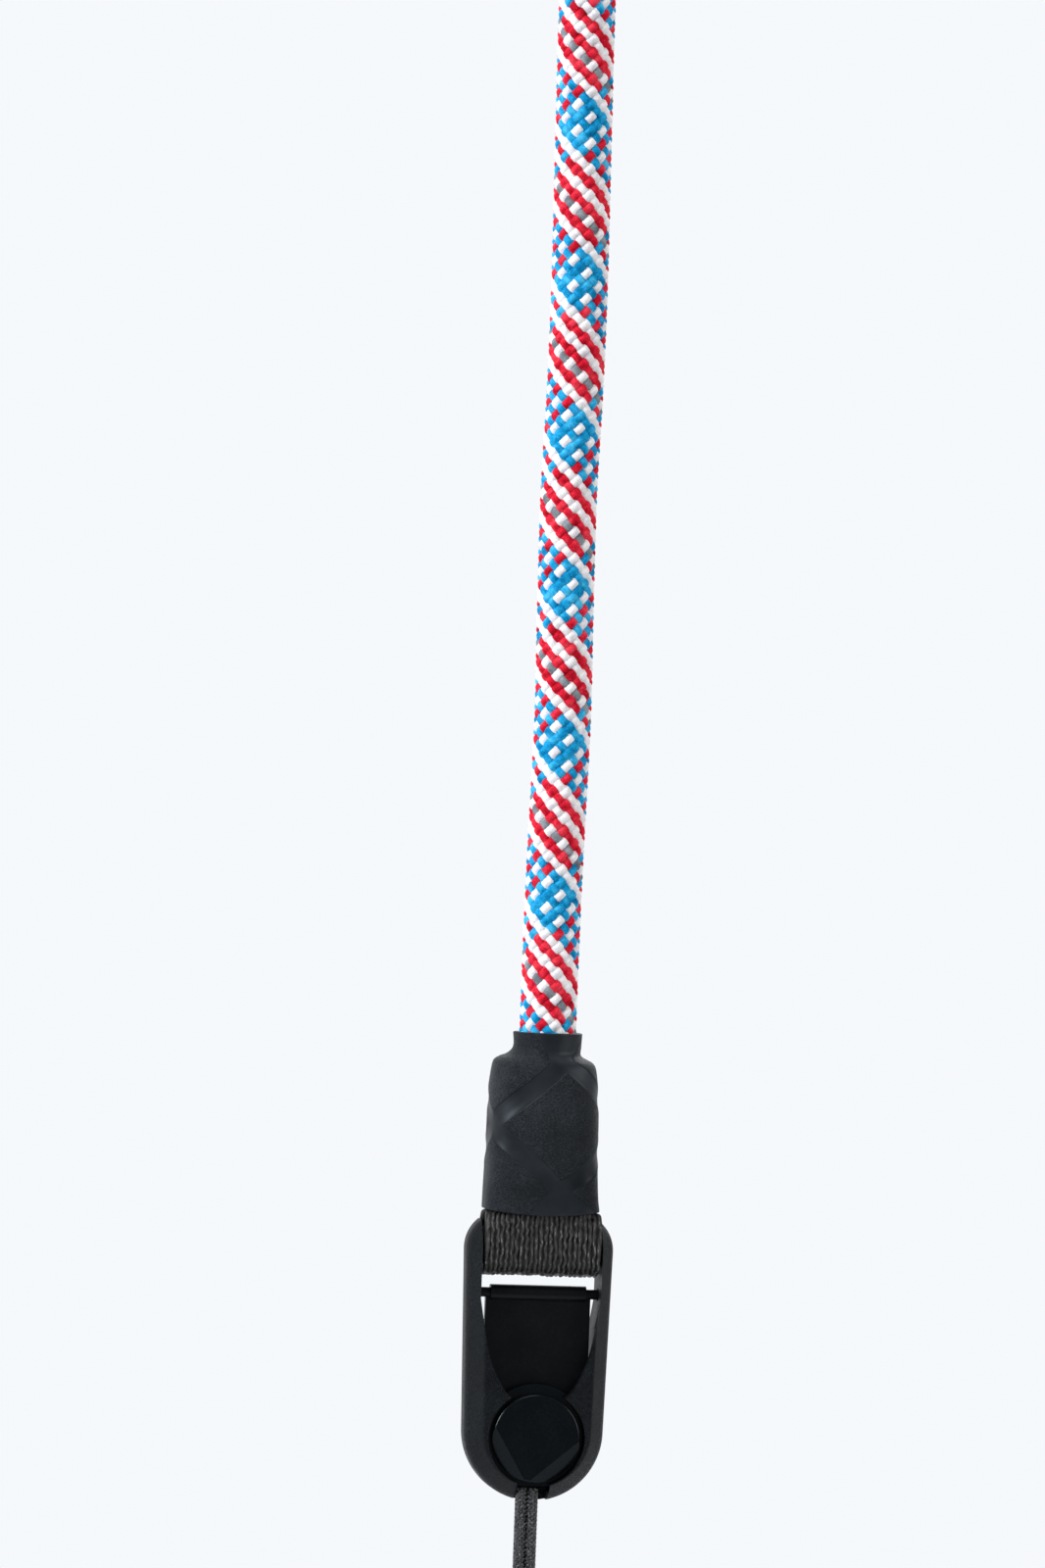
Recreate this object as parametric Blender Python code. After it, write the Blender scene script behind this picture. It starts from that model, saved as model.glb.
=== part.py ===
"""Camera neck strap: one round braided rope that goes round the neck, with a quick-release link on each end.

Row frame: +Z is up, the wearer faces -Y, and the origin is the point of the rope's inner side at the nape.
Each end is built in its own frame, whose origin is the centre of the button's seat at mid thickness:
x to the right, -y out of the front face, z up along the link.
"""

import math

import bmesh
import bpy
from mathutils import Matrix, Vector

MM = 0.001
GAP = 0.3 * MM  # the clearance that neighbouring pieces keep
MERGE = 0.001 * MM  # points nearer than this are one
CUT_OVERLAP = 0.1 * MM  # how far one cut runs into the next

# Where each end hangs
END_SIDE = 53.6 * MM
END_FRONT = -112.0 * MM
END_HEIGHT = -484.3 * MM
END_LEAN = math.radians(2.1)
END_TURN = math.radians(8.5)

# Rope
ROPE_DIAMETER = 9.5 * MM
ROPE_STEP = 1.75 * ROPE_DIAMETER
ROPE_FACETS = 3
# One half of the rope's route, from the end inside the sleeve up the chest, over the shoulder to the nape
ROPE_ROUTE = (
    (0.05550, -0.1120, -0.43250),
    (0.05616, -0.1120, -0.41440),
    (0.05717, -0.1120, -0.39000),
    (0.05862, -0.1120, -0.36330),
    (0.05905, -0.1120, -0.34670),
    (0.05967, -0.1120, -0.32500),
    (0.06075, -0.1120, -0.30670),
    (0.06155, -0.1120, -0.28830),
    (0.06222, -0.1120, -0.26330),
    (0.06283, -0.1122, -0.24170),
    (0.06430, -0.1130, -0.20500),
    (0.06560, -0.1130, -0.17000),
    (0.06640, -0.1095, -0.13000),
    (0.06680, -0.0990, -0.09200),
    (0.06640, -0.0820, -0.06000),
    (0.06400, -0.0620, -0.03600),
    (0.05850, -0.0395, -0.01800),
    (0.04650, -0.0170, -0.00600),
    (0.02550, -0.0005, -0.00120),
    (0.00000, 0.00475, 0.00000),
)

# Link housing
HOUSING_TOP = 38.2 * MM
HOUSING_BOTTOM = -11.0 * MM
HOUSING_FOOT_RADIUS = 12.0 * MM
HOUSING_TOP_WIDTH = 25.3 * MM
HOUSING_CORNER = 6.4 * MM
HOUSING_THICKNESS = 9.0 * MM
EDGE_WIDTH = 3.1 * MM
BACK_EDGE_WIDTH = 1.3 * MM
# Columns: depth as a share of the thickness, inset as a share of the front edge's width
FRONT_EDGE = ((0.0, 1.0), (0.06, 0.80), (0.38, 0.10), (0.48, 0.0))
BACK_EDGE = ((0.82, 0.0), (0.94, 0.35), (1.0, 1.0))  # the inset is a share of the back edge's width

# Button and its seat
BOSS_RADIUS = 7.5 * MM
FLANGE_RADIUS = 9.17 * MM
FACE_INSET = 0.1 * MM
FLANGE_THICKNESS = 1.9 * MM
FLANGE_FLAT = 8.2 * MM
FACE_ROUND = 0.45 * MM
FACET_ANGLES = ((168.0, 253.0), (264.0, 356.0))
FACET_DROP = 1.1 * MM
LIP_THICKNESS = 1.8 * MM
LIP_GAP = 0.75 * MM
SEAT_GAP = 0.38 * MM
PRESS_TRAVEL = 2.0 * MM
MOUTH_HALF_GAP = 4.6 * MM

# Window, funnel and top bar
WEBBING_WIDTH = 20.0 * MM
WEBBING_THICKNESS = 1.8 * MM
WEBBING_RECESS = 0.2 * MM
BAR_HEIGHT = 6.2 * MM
BAR_SINK = 2.7 * MM
BACK_WALL_TOP = 1.8 * MM
FUNNEL_DROP = 0.85 * MM
# Columns: height as a share from the mouth to the funnel's top, half width as a share from mouth to window
FUNNEL = (
    (0.06, 0.175),
    (0.15, 0.35),
    (0.27, 0.53),
    (0.37, 0.65),
    (0.52, 0.77),
    (0.73, 0.88),
    (1.0, 1.0),
)

# Flap
FLAP_HALF_WIDTH = 9.0 * MM
FLAP_THICKNESS = 1.3 * MM
FLAP_CORNER = 3.5 * MM
FLAP_TIP_ROOM = 0.85 * MM
ROLL_DIAMETER = 2.8 * MM
ROLL_HALF_LENGTH = 8.2 * MM
PIN_DIAMETER = 1.7 * MM
PIN_DEPTH = 1.0 * MM
ROLL_ROOM = 1.45 * MM

# Anchor cord and its slot
CORD_DIAMETER = 1.8 * MM
CORD_FACETS = 2
CORD_STEP = 1.3 * CORD_DIAMETER
CORD_SHIFT = -0.95 * MM
SLOT_HALF_WIDTH = 2.85 * MM
SLOT_SHIFT = -0.2 * MM
# One half of the loop's route: distance from the loop's middle line, height in the end's frame
CORD_ROUTE = (
    (0.00097, -0.0085),
    (0.00097, -0.0125),
    (0.00097, -0.0180),
    (0.00097, -0.0240),
    (0.00112, -0.0290),
    (0.00190, -0.0334),
    (0.00330, -0.0374),
    (0.00425, -0.0410),
    (0.00420, -0.0440),
    (0.00280, -0.0468),
    (0.00000, -0.0478),
)

# Sleeve
SLEEVE_LENGTH = 30.2 * MM
SLEEVE_WALL = 0.85 * MM
SLEEVE_WIDTH = 19.0 * MM
SLEEVE_ROOM = 0.4 * MM
FOOT_PINCH = 0.1 * MM
SLEEVE_SIDES = 32
# Columns: height as a share from the top down, swell of the width and of the depth from neck to body,
# sideways shift as a share of the body's half width, squareness of the section
SHOULDER = (
    (0.0, 0.0, 0.0, 0.0, 2.0),
    (0.08, -0.03, 0.0, 0.0, 2.0),
    (0.12, 0.08, 0.06, -0.05, 2.1),
    (0.14, 0.36, 0.30, -0.09, 2.2),
    (0.16, 0.66, 0.55, -0.07, 2.3),
    (0.19, 0.80, 0.75, -0.05, 2.4),
    (0.26, 0.89, 0.95, -0.045, 2.5),
    (0.33, 0.93, 1.0, -0.045, 2.6),
    (0.48, 0.98, 1.0, -0.035, 2.6),
    (0.61, 0.99, 1.0, -0.035, 2.7),
)
# The same columns, with the swell from body to foot
FOOT = (
    (0.79, 0.15, 0.33, -0.035, 3.1),
    (0.92, 0.50, 0.78, -0.028, 3.8),
    (1.0, 1.0, 1.0, -0.013, 4.0),
)

# Webbing inside and below the sleeve
ROPE_IN_SLEEVE = 17.0 * MM
LEG_OVERLAP = 6.0 * MM
LEG_CUP = 3.9 * MM
LEG_SIDE_ROOM = 1.05 * MM
STRIP_COLUMNS = 8
FOLD_STEPS = 8
# Columns: height as a share from the rope's end down to the sleeve's foot, half gap as a share from rope
# to bar, cup as a share of the full cup, half width as a share from the sleeve's inside to the full width
LEG = (
    (0.0, 0.0, 1.0, 0.0),
    (0.29, 0.26, 0.86, 0.04),
    (0.67, 0.73, 0.66, 0.16),
    (0.93, 0.98, 0.52, 0.36),
    (1.0, 1.0, 0.49, 0.40),
    (1.035, 1.0, 0.40, 0.90),
    (1.12, 1.0, 0.15, 0.99),
    (1.20, 1.0, 0.0, 1.0),
)

# What follows from those sizes
SLEEVE_FOOT = HOUSING_TOP + SLEEVE_ROOM
SLEEVE_TOP = SLEEVE_FOOT + SLEEVE_LENGTH
NECK_RADIUS = ROPE_DIAMETER / 2 + GAP + SLEEVE_WALL
BODY_HALF_DEPTH = ROPE_DIAMETER / 2 + WEBBING_THICKNESS + 2 * GAP + SLEEVE_WALL
BAR_BOTTOM = HOUSING_TOP - BAR_SINK - BAR_HEIGHT
BAR_HALF_DEPTH = HOUSING_THICKNESS / 2 - WEBBING_THICKNESS - GAP - WEBBING_RECESS
FOOT_HALF_DEPTH = BAR_HALF_DEPTH + WEBBING_THICKNESS + 2 * GAP + SLEEVE_WALL
FOOT_HALF_WIDTH = WEBBING_WIDTH / 2 - FOOT_PINCH
WINDOW_HALF_WIDTH = WEBBING_WIDTH / 2 + GAP
SEAT_RADIUS = FLANGE_RADIUS + SEAT_GAP
LIP_RADIUS = BOSS_RADIUS + LIP_GAP
FLANGE_DEPTH = LIP_THICKNESS + GAP
FLAP_DEPTH = FLANGE_DEPTH + FLANGE_THICKNESS + GAP
SEAT_DEPTH = FLAP_DEPTH + PRESS_TRAVEL
HINGE_DEPTH = FLAP_DEPTH + FLAP_THICKNESS / 2
HINGE_HEIGHT = BAR_BOTTOM - GAP - WEBBING_THICKNESS - ROLL_ROOM - ROLL_DIAMETER / 2
FUNNEL_TOP = HINGE_HEIGHT - FUNNEL_DROP
FLAP_REACH = HINGE_HEIGHT - BACK_WALL_TOP - FLAP_TIP_ROOM
CORD_DEPTH = FLANGE_DEPTH + FLANGE_THICKNESS / 2


def depth_to_y(depth):
    """The end frame's y of a depth below the housing's front face."""
    return depth - HOUSING_THICKNESS / 2


def material(name, color, roughness, metallic=0.0):
    made = bpy.data.materials.new(name)
    made.use_nodes = True
    shader = made.node_tree.nodes["Principled BSDF"]
    shader.inputs["Base Color"].default_value = (*color, 1.0)
    shader.inputs["Roughness"].default_value = roughness
    shader.inputs["Metallic"].default_value = metallic
    return made


def link(name, data, parent=None, finish=None):
    made = bpy.data.objects.new(name, data)
    bpy.context.collection.objects.link(made)
    made.parent = parent
    if finish and not data.materials:
        data.materials.append(finish)
    return made


def empty(name, parent=None, location=(0, 0, 0), turn=0.0, lean=0.0):
    """An empty that carries pieces: turned about its own upright axis, then leaned about the row's Y."""
    made = link(name, None, parent)
    made.location = location
    made.rotation_mode = "ZYX"
    made.rotation_euler = (0.0, lean, turn)
    return made


def mesh_from(bm, name, smooth_under=35.0):
    """A mesh of the bmesh, faces pointing out, shaded smooth up to the given angle."""
    bmesh.ops.recalc_face_normals(bm, faces=bm.faces)
    mesh = bpy.data.meshes.new(name)
    bm.to_mesh(mesh)
    bm.free()
    mesh.shade_smooth()
    mesh.set_sharp_from_angle(angle=math.radians(smooth_under))
    return mesh


def skin_rings(rings, closed=False):
    """A bmesh through the rings: each is extruded from the one before, and the ends are capped or joined."""
    bm = bmesh.new()
    verts = [bm.verts.new(point) for point in rings[0]]
    edges = [bm.edges.new((verts[i - 1], verts[i])) for i in range(len(verts))]
    if not closed:
        bm.faces.new(verts)
    for ring in rings[1:] + (rings[:1] if closed else []):
        grown = bmesh.ops.extrude_edge_only(bm, edges=edges)["geom"]
        edges = [item for item in grown if isinstance(item, bmesh.types.BMEdge)]
        fresh = {item for item in grown if isinstance(item, bmesh.types.BMVert)}
        risen = {edge.other_vert(vert): vert for vert in fresh for edge in vert.link_edges}
        verts = [risen[vert] for vert in verts]
        for vert, point in zip(verts, ring):
            vert.co = point
    if closed:
        bmesh.ops.remove_doubles(bm, verts=bm.verts, dist=MERGE)
    else:
        bm.faces.new(verts)
    return bm


def prism(outline, near, far):
    """A bmesh of the outline of (x, z) points, extruded between two depths below the front face."""
    bm = bmesh.new()
    verts = [bm.verts.new((x, depth_to_y(near), z)) for x, z in outline]
    face = bm.faces.new(verts)
    grown = bmesh.ops.extrude_face_region(bm, geom=[face])["geom"]
    moved = [item for item in grown if isinstance(item, bmesh.types.BMVert)]
    bmesh.ops.translate(bm, verts=moved, vec=(0, far - near, 0))
    return bm


def cutter(name, mesh, parent):
    made = link(name, mesh, parent)
    made.hide_render = True
    made.display_type = "WIRE"
    return made


def boolean(target, tool, operation):
    modifier = target.modifiers.new(f"{operation.lower()} {tool.name}", "BOOLEAN")
    modifier.operation = operation
    modifier.solver = "EXACT"
    modifier.object = tool


def arc(center, radius, start, end, steps):
    """Points of an arc in the (x, z) plane, angles in degrees, both ends included."""
    angles = [math.radians(start + (end - start) * i / steps) for i in range(steps + 1)]
    return [(center[0] + radius * math.cos(a), center[1] + radius * math.sin(a)) for a in angles]


def mirrored(half):
    """The outline of a right half, bottom to top, and its mirror image back down."""
    return list(half) + [(-x, z) for x, z in reversed(half) if abs(x) > 1e-9]


def smooth_points(route, step):
    """Points about one step apart on the smooth curve through the route's own points."""
    points = [Vector(point) for point in route]
    points = [2 * points[0] - points[1], *points, 2 * points[-1] - points[-2]]
    fine = [points[1]]
    for a, b, c, d in zip(points, points[1:], points[2:], points[3:]):
        for i in range(1, 25):
            t = i / 24
            bend = (2 * a - 5 * b + 4 * c - d) * t**2 + (3 * b - a - 3 * c + d) * t**3
            fine.append(0.5 * (2 * b + (c - a) * t + bend))
    lengths = [(q - p).length for p, q in zip(fine, fine[1:])]
    count = max(2, round(sum(lengths) / step))
    spacing = sum(lengths) / count
    picked = [fine[0]]
    travelled = 0.0
    for point, length in zip(fine[1:], lengths):
        travelled += length
        if travelled >= spacing * len(picked) - 1e-9:
            picked.append(point)
    picked[-1] = fine[-1]
    return picked


def cord_curve(name, points, diameter, facets):
    curve = bpy.data.curves.new(name, "CURVE")
    curve.dimensions = "3D"
    curve.bevel_depth = diameter / 2
    curve.bevel_resolution = facets
    curve.use_fill_caps = True
    spline = curve.splines.new("POLY")
    spline.points.add(len(points) - 1)
    for target, point in zip(spline.points, points):
        target.co = (*point, 1.0)
    return curve


def rope_curve():
    """The whole rope: up one strand, round the nape and down the other, with an end in each sleeve."""
    back = [(-x, y, z) for x, y, z in reversed(ROPE_ROUTE[:-1])]
    return cord_curve("rope", smooth_points([*ROPE_ROUTE, *back], ROPE_STEP), ROPE_DIAMETER, ROPE_FACETS)


def anchor_cord_curve():
    """The loop of thin cord: down from the button's flat edge and back up beside itself."""
    y = depth_to_y(CORD_DEPTH)
    down = [(CORD_SHIFT + x, y, z) for x, z in CORD_ROUTE]
    up = [(CORD_SHIFT - x, y, z) for x, z in reversed(CORD_ROUTE[:-1])]
    return cord_curve("anchor_cord", smooth_points(down + up, CORD_STEP), CORD_DIAMETER, CORD_FACETS)


def section(half_width, half_depth, shift, square, height):
    """One ring of the sleeve: a rounded section between an ellipse and a box."""
    ring = []
    for i in range(SLEEVE_SIDES):
        angle = 2 * math.pi * i / SLEEVE_SIDES
        c, s = math.cos(angle), math.sin(angle)
        stretch = (abs(c) ** square + abs(s) ** square) ** (-1 / square)
        ring.append((shift + half_width * stretch * c, half_depth * stretch * s, height))
    return ring


def sleeve_mesh():
    """The shrunk tube: round at the neck, fat where the webbing's legs clasp the rope, flat at the foot."""
    body = (SLEEVE_WIDTH / 2, BODY_HALF_DEPTH)
    ends = ((NECK_RADIUS, NECK_RADIUS), (FOOT_HALF_WIDTH, FOOT_HALF_DEPTH))
    sections = []
    for down, width, depth, shift, square in SHOULDER:
        sizes = [n + (b - n) * swell for n, b, swell in zip(ends[0], body, (width, depth))]
        sections.append((*sizes, shift * body[0], square, SLEEVE_TOP - down * SLEEVE_LENGTH))
    for down, width, depth, shift, square in FOOT:
        sizes = [b + (f - b) * swell for f, b, swell in zip(ends[1], body, (width, depth))]
        sections.append((*sizes, shift * body[0], square, SLEEVE_TOP - down * SLEEVE_LENGTH))
    outside = [section(*row) for row in sections]
    inside = [section(w - SLEEVE_WALL, d - SLEEVE_WALL, *rest) for w, d, *rest in sections]
    return mesh_from(skin_rings(outside + inside[::-1], closed=True), "sleeve", 60.0)


def strip_ring(middle, outward, half_width, cup):
    """One cross-section of the webbing: wide in x, thick along outward, its edges bent in by the cup."""
    ring = []
    for side in (1, -1):
        columns = range(STRIP_COLUMNS + 1) if side > 0 else range(STRIP_COLUMNS, -1, -1)
        for i in columns:
            across = 2 * i / STRIP_COLUMNS - 1
            offset = side * WEBBING_THICKNESS / 2 - cup * abs(across) ** 3
            y, z = (spot + way * offset for spot, way in zip(middle, outward))
            ring.append((across * half_width, y, z))
    return ring


def webbing_mesh():
    """The strip round the top bar: a leg up the front, the fold under the bar, a leg up the back."""
    narrow = SLEEVE_WIDTH / 2 - SLEEVE_WALL - LEG_SIDE_ROOM
    full = WEBBING_WIDTH / 2
    rope_gap = ROPE_DIAMETER / 2 + GAP
    bar_gap = BAR_HALF_DEPTH + GAP
    rope_end = SLEEVE_TOP - ROPE_IN_SLEEVE
    rows = [(rope_end + LEG_OVERLAP, rope_gap, LEG_CUP, narrow)]
    for down, gap, cup, width in LEG:
        height = rope_end - down * (rope_end - SLEEVE_FOOT)
        inner_gap = rope_gap + (bar_gap - rope_gap) * gap
        rows.append((height, inner_gap, LEG_CUP * cup, narrow + (full - narrow) * width))
    half = WEBBING_THICKNESS / 2
    legs = [[], []]
    for leg, side in zip(legs, (-1, 1)):
        for height, gap, cup, width in rows:
            leg.append(strip_ring((side * (gap + half), height), (side, 0.0), width, cup))
    center = BAR_BOTTOM + BAR_HALF_DEPTH
    fold = []
    for i in range(FOLD_STEPS + 1):
        angle = math.pi + math.pi * i / FOLD_STEPS
        outward = (math.cos(angle), math.sin(angle))
        middle = (outward[0] * (bar_gap + half), center + outward[1] * (bar_gap + half))
        fold.append(strip_ring(middle, outward, full, 0.0))
    return mesh_from(skin_rings(legs[0] + fold + legs[1][::-1]), "webbing", 60.0)


def housing_outline(inset):
    """The link's outline, drawn in by the inset: a round foot, nearly straight sides and two top corners."""
    foot = arc((0, HOUSING_BOTTOM + HOUSING_FOOT_RADIUS), HOUSING_FOOT_RADIUS - inset, -90, 0, 9)
    corner = (HOUSING_TOP_WIDTH / 2 - HOUSING_CORNER, HOUSING_TOP - HOUSING_CORNER)
    return mirrored(foot + arc(corner, HOUSING_CORNER - inset, 0, 90, 6))


def housing_mesh():
    """The moulded body before its openings: a plate with a wide sloped front edge and a small back edge."""
    edges = [(share, inset * EDGE_WIDTH) for share, inset in FRONT_EDGE]
    edges += [(share, inset * BACK_EDGE_WIDTH) for share, inset in BACK_EDGE]
    rings = []
    for share, inset in edges:
        y = depth_to_y(share * HOUSING_THICKNESS)
        rings.append([(x, y, z) for x, z in housing_outline(inset)])
    return mesh_from(skin_rings(rings), "housing", 30.0)


def channel_side(bottom):
    """The right side of the flange's channel, from the given height up past the housing's top."""
    return [
        (SEAT_RADIUS, bottom),
        (SEAT_RADIUS, FUNNEL_TOP - MOUTH_HALF_GAP),
        (WINDOW_HALF_WIDTH, FUNNEL_TOP),
        (WINDOW_HALF_WIDTH, HOUSING_TOP + HOUSING_CORNER),
    ]


def cut_housing(housing, parent):
    """The openings of the link, and the top bar that the webbing is folded round."""
    beyond = HOUSING_TOP + HOUSING_CORNER
    mouth = math.sqrt(LIP_RADIUS**2 - MOUTH_HALF_GAP**2)
    mouth_angle = math.degrees(math.atan2(mouth, MOUTH_HALF_GAP))
    front = arc((0, 0), LIP_RADIUS, -90, mouth_angle, 16)
    for height, width in FUNNEL:
        front.append(
            (
                MOUTH_HALF_GAP + (WINDOW_HALF_WIDTH - MOUTH_HALF_GAP) * width,
                mouth + (FUNNEL_TOP - mouth) * height,
            )
        )
    front.append((WINDOW_HALF_WIDTH, beyond))
    seat = arc((0, 0), SEAT_RADIUS, -90, 0, 9) + channel_side(0)[1:]
    slot = [
        (SLOT_SHIFT + side * SLOT_HALF_WIDTH, z)
        for side, z in (
            (-1, 2 * HOUSING_BOTTOM),
            (1, 2 * HOUSING_BOTTOM),
            (1, -BOSS_RADIUS / 2),
            (-1, -BOSS_RADIUS / 2),
        )
    ]
    window = mirrored(channel_side(BACK_WALL_TOP))
    cuts = {
        "front_opening": prism(mirrored(front), -EDGE_WIDTH, LIP_THICKNESS + CUT_OVERLAP),
        "seat_channel": prism(mirrored(seat), LIP_THICKNESS, SEAT_DEPTH),
        "back_window": prism(window, SEAT_DEPTH - CUT_OVERLAP, 2 * HOUSING_THICKNESS),
        "cord_slot": prism(slot, -EDGE_WIDTH, SEAT_DEPTH),
    }
    holes = bmesh.new()
    reach = WINDOW_HALF_WIDTH + PIN_DEPTH + GAP
    hinge = Matrix.Translation((0, depth_to_y(HINGE_DEPTH), HINGE_HEIGHT))
    bmesh.ops.create_cone(
        holes,
        cap_ends=True,
        segments=16,
        radius1=PIN_DIAMETER / 2 + GAP,
        radius2=PIN_DIAMETER / 2 + GAP,
        depth=2 * reach,
        matrix=hinge @ Matrix.Rotation(math.pi / 2, 4, "Y"),
    )
    cuts["pin_holes"] = holes
    for name, bm in cuts.items():
        boolean(housing, cutter(f"{name}_{parent.name}", mesh_from(bm, name), parent), "DIFFERENCE")
    bar_ring = arc((0, BAR_BOTTOM + BAR_HALF_DEPTH), BAR_HALF_DEPTH, 180, 360, 8)
    bar_ring += arc((0, BAR_BOTTOM + BAR_HEIGHT - BAR_HALF_DEPTH), BAR_HALF_DEPTH, 0, 180, 8)
    bar_end = WINDOW_HALF_WIDTH + PIN_DEPTH / 2
    rings = [[(x, y, z) for y, z in bar_ring] for x in (-bar_end, bar_end)]
    bar = mesh_from(skin_rings(rings), "top_bar")
    boolean(housing, cutter(f"top_bar_{parent.name}", bar, parent), "UNION")


def flap_plate_mesh():
    """The tongue's plate, in the hinge's frame, from the roll down to its rounded tip."""
    corner = FLAP_HALF_WIDTH - FLAP_CORNER
    half = arc((corner, FLAP_CORNER - FLAP_REACH), FLAP_CORNER, -90, 0, 5) + [(FLAP_HALF_WIDTH, 0)]
    bm = prism(mirrored(half), 0, FLAP_THICKNESS)
    bmesh.ops.translate(bm, verts=bm.verts, vec=(0, -depth_to_y(FLAP_THICKNESS / 2), 0))
    return mesh_from(bm, "flap")


def flap_roll_mesh():
    """The rolled top edge with a pin at each end, turned round the hinge's line."""
    pin_end = WINDOW_HALF_WIDTH + PIN_DEPTH
    profile = (
        (-pin_end, 0),
        (-pin_end, PIN_DIAMETER / 2),
        (-ROLL_HALF_LENGTH, PIN_DIAMETER / 2),
        (-ROLL_HALF_LENGTH, ROLL_DIAMETER / 2),
        (ROLL_HALF_LENGTH, ROLL_DIAMETER / 2),
        (ROLL_HALF_LENGTH, PIN_DIAMETER / 2),
        (pin_end, PIN_DIAMETER / 2),
        (pin_end, 0),
    )
    return mesh_from(turned_profile(profile, "X", 14), "flap_roll")


def turned_profile(profile, axis, steps):
    """A bmesh of the profile, points of (along, radius), spun a full turn about the axis."""
    bm = bmesh.new()
    along = Vector((1, 0, 0)) if axis == "X" else Vector((0, 1, 0))
    verts = [bm.verts.new(along * a + Vector((0, 0, r))) for a, r in profile]
    edges = [bm.edges.new(pair) for pair in zip(verts, verts[1:])]
    bmesh.ops.spin(
        bm, geom=verts + edges, cent=(0, 0, 0), axis=along, angle=2 * math.pi, steps=steps, use_merge=True
    )
    bmesh.ops.remove_doubles(bm, verts=bm.verts, dist=MERGE)
    return bm


def slice_off(bm, point, normal):
    """Cut the bmesh at a plane, drop what lies on the normal's side and close the cut."""
    geometry = [*bm.verts, *bm.edges, *bm.faces]
    cut = bmesh.ops.bisect_plane(
        bm, geom=geometry, dist=MERGE / 10, plane_co=point, plane_no=normal, clear_outer=True
    )
    edges = [item for item in cut["geom_cut"] if isinstance(item, bmesh.types.BMEdge)]
    bmesh.ops.holes_fill(bm, edges=edges, sides=0)


def button_mesh():
    """The anchor's button: a round boss with two flats low on its face, and a wider, flat-footed flange."""
    face = depth_to_y(FACE_INSET)
    step = depth_to_y(FLANGE_DEPTH)
    back = depth_to_y(FLANGE_DEPTH + FLANGE_THICKNESS)
    face_radius = BOSS_RADIUS - FACE_ROUND
    profile = (
        (face, 0),
        (face, face_radius),
        (face + 0.3 * FACE_ROUND, BOSS_RADIUS - 0.3 * FACE_ROUND),
        (face + FACE_ROUND, BOSS_RADIUS),
        (step, BOSS_RADIUS),
        (step, FLANGE_RADIUS),
        (back, FLANGE_RADIUS),
        (back, 0),
    )
    bm = turned_profile(profile, "Y", 36)
    for first, last in FACET_ANGLES:
        chord = [
            Vector((face_radius * math.cos(math.radians(a)), face, face_radius * math.sin(math.radians(a))))
            for a in (first, last)
        ]
        middle = math.radians((first + last) / 2)
        rim = Vector((BOSS_RADIUS * math.cos(middle), face + FACET_DROP, BOSS_RADIUS * math.sin(middle)))
        normal = (chord[1] - chord[0]).cross(rim - chord[0]).normalized()
        if normal.y > 0:
            normal.negate()
        slice_off(bm, chord[0], normal)
    slice_off(bm, (0, 0, -FLANGE_FLAT), (0, 0, -1))
    return mesh_from(bm, "anchor_disc")


def build():
    for old in list(bpy.data.objects):
        bpy.data.objects.remove(old)

    rope_finish = material("braided_rope", (0.05, 0.35, 0.68), 0.7)
    sleeve_finish = material("shrunk_sleeve", (0.02, 0.022, 0.026), 0.6)
    webbing_finish = material("webbing", (0.018, 0.017, 0.016), 0.65)
    housing_finish = material("grained_plastic", (0.014, 0.016, 0.02), 0.55)
    gloss_finish = material("gloss_plastic", (0.006, 0.007, 0.009), 0.18)
    cord_finish = material("thin_cord", (0.03, 0.03, 0.032), 0.6)

    link("rope", rope_curve(), finish=rope_finish)

    sleeve = sleeve_mesh()
    webbing = webbing_mesh()
    housing = housing_mesh()
    plate = flap_plate_mesh()
    roll = flap_roll_mesh()
    button = button_mesh()
    cord = anchor_cord_curve()
    for side, sign in (("right", 1), ("left", -1)):
        place = (sign * END_SIDE, END_FRONT, END_HEIGHT)
        end = empty(f"{side}_end", None, place, sign * END_TURN, sign * END_LEAN)
        link(f"{side}_sleeve", sleeve, end, sleeve_finish)
        link(f"{side}_webbing", webbing, end, webbing_finish)
        cut_housing(link(f"{side}_housing", housing, end, housing_finish), end)
        hinge = empty(f"{side}_flap_hinge", end, (0, depth_to_y(HINGE_DEPTH), HINGE_HEIGHT))
        flap = link(f"{side}_flap", plate, hinge, gloss_finish)
        boolean(flap, cutter(f"{side}_flap_roll", roll, hinge), "UNION")
        press = empty(f"{side}_press", end)
        link(f"{side}_anchor_disc", button, press, gloss_finish)
        link(f"{side}_anchor_cord", cord, press, cord_finish)


build()
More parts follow.
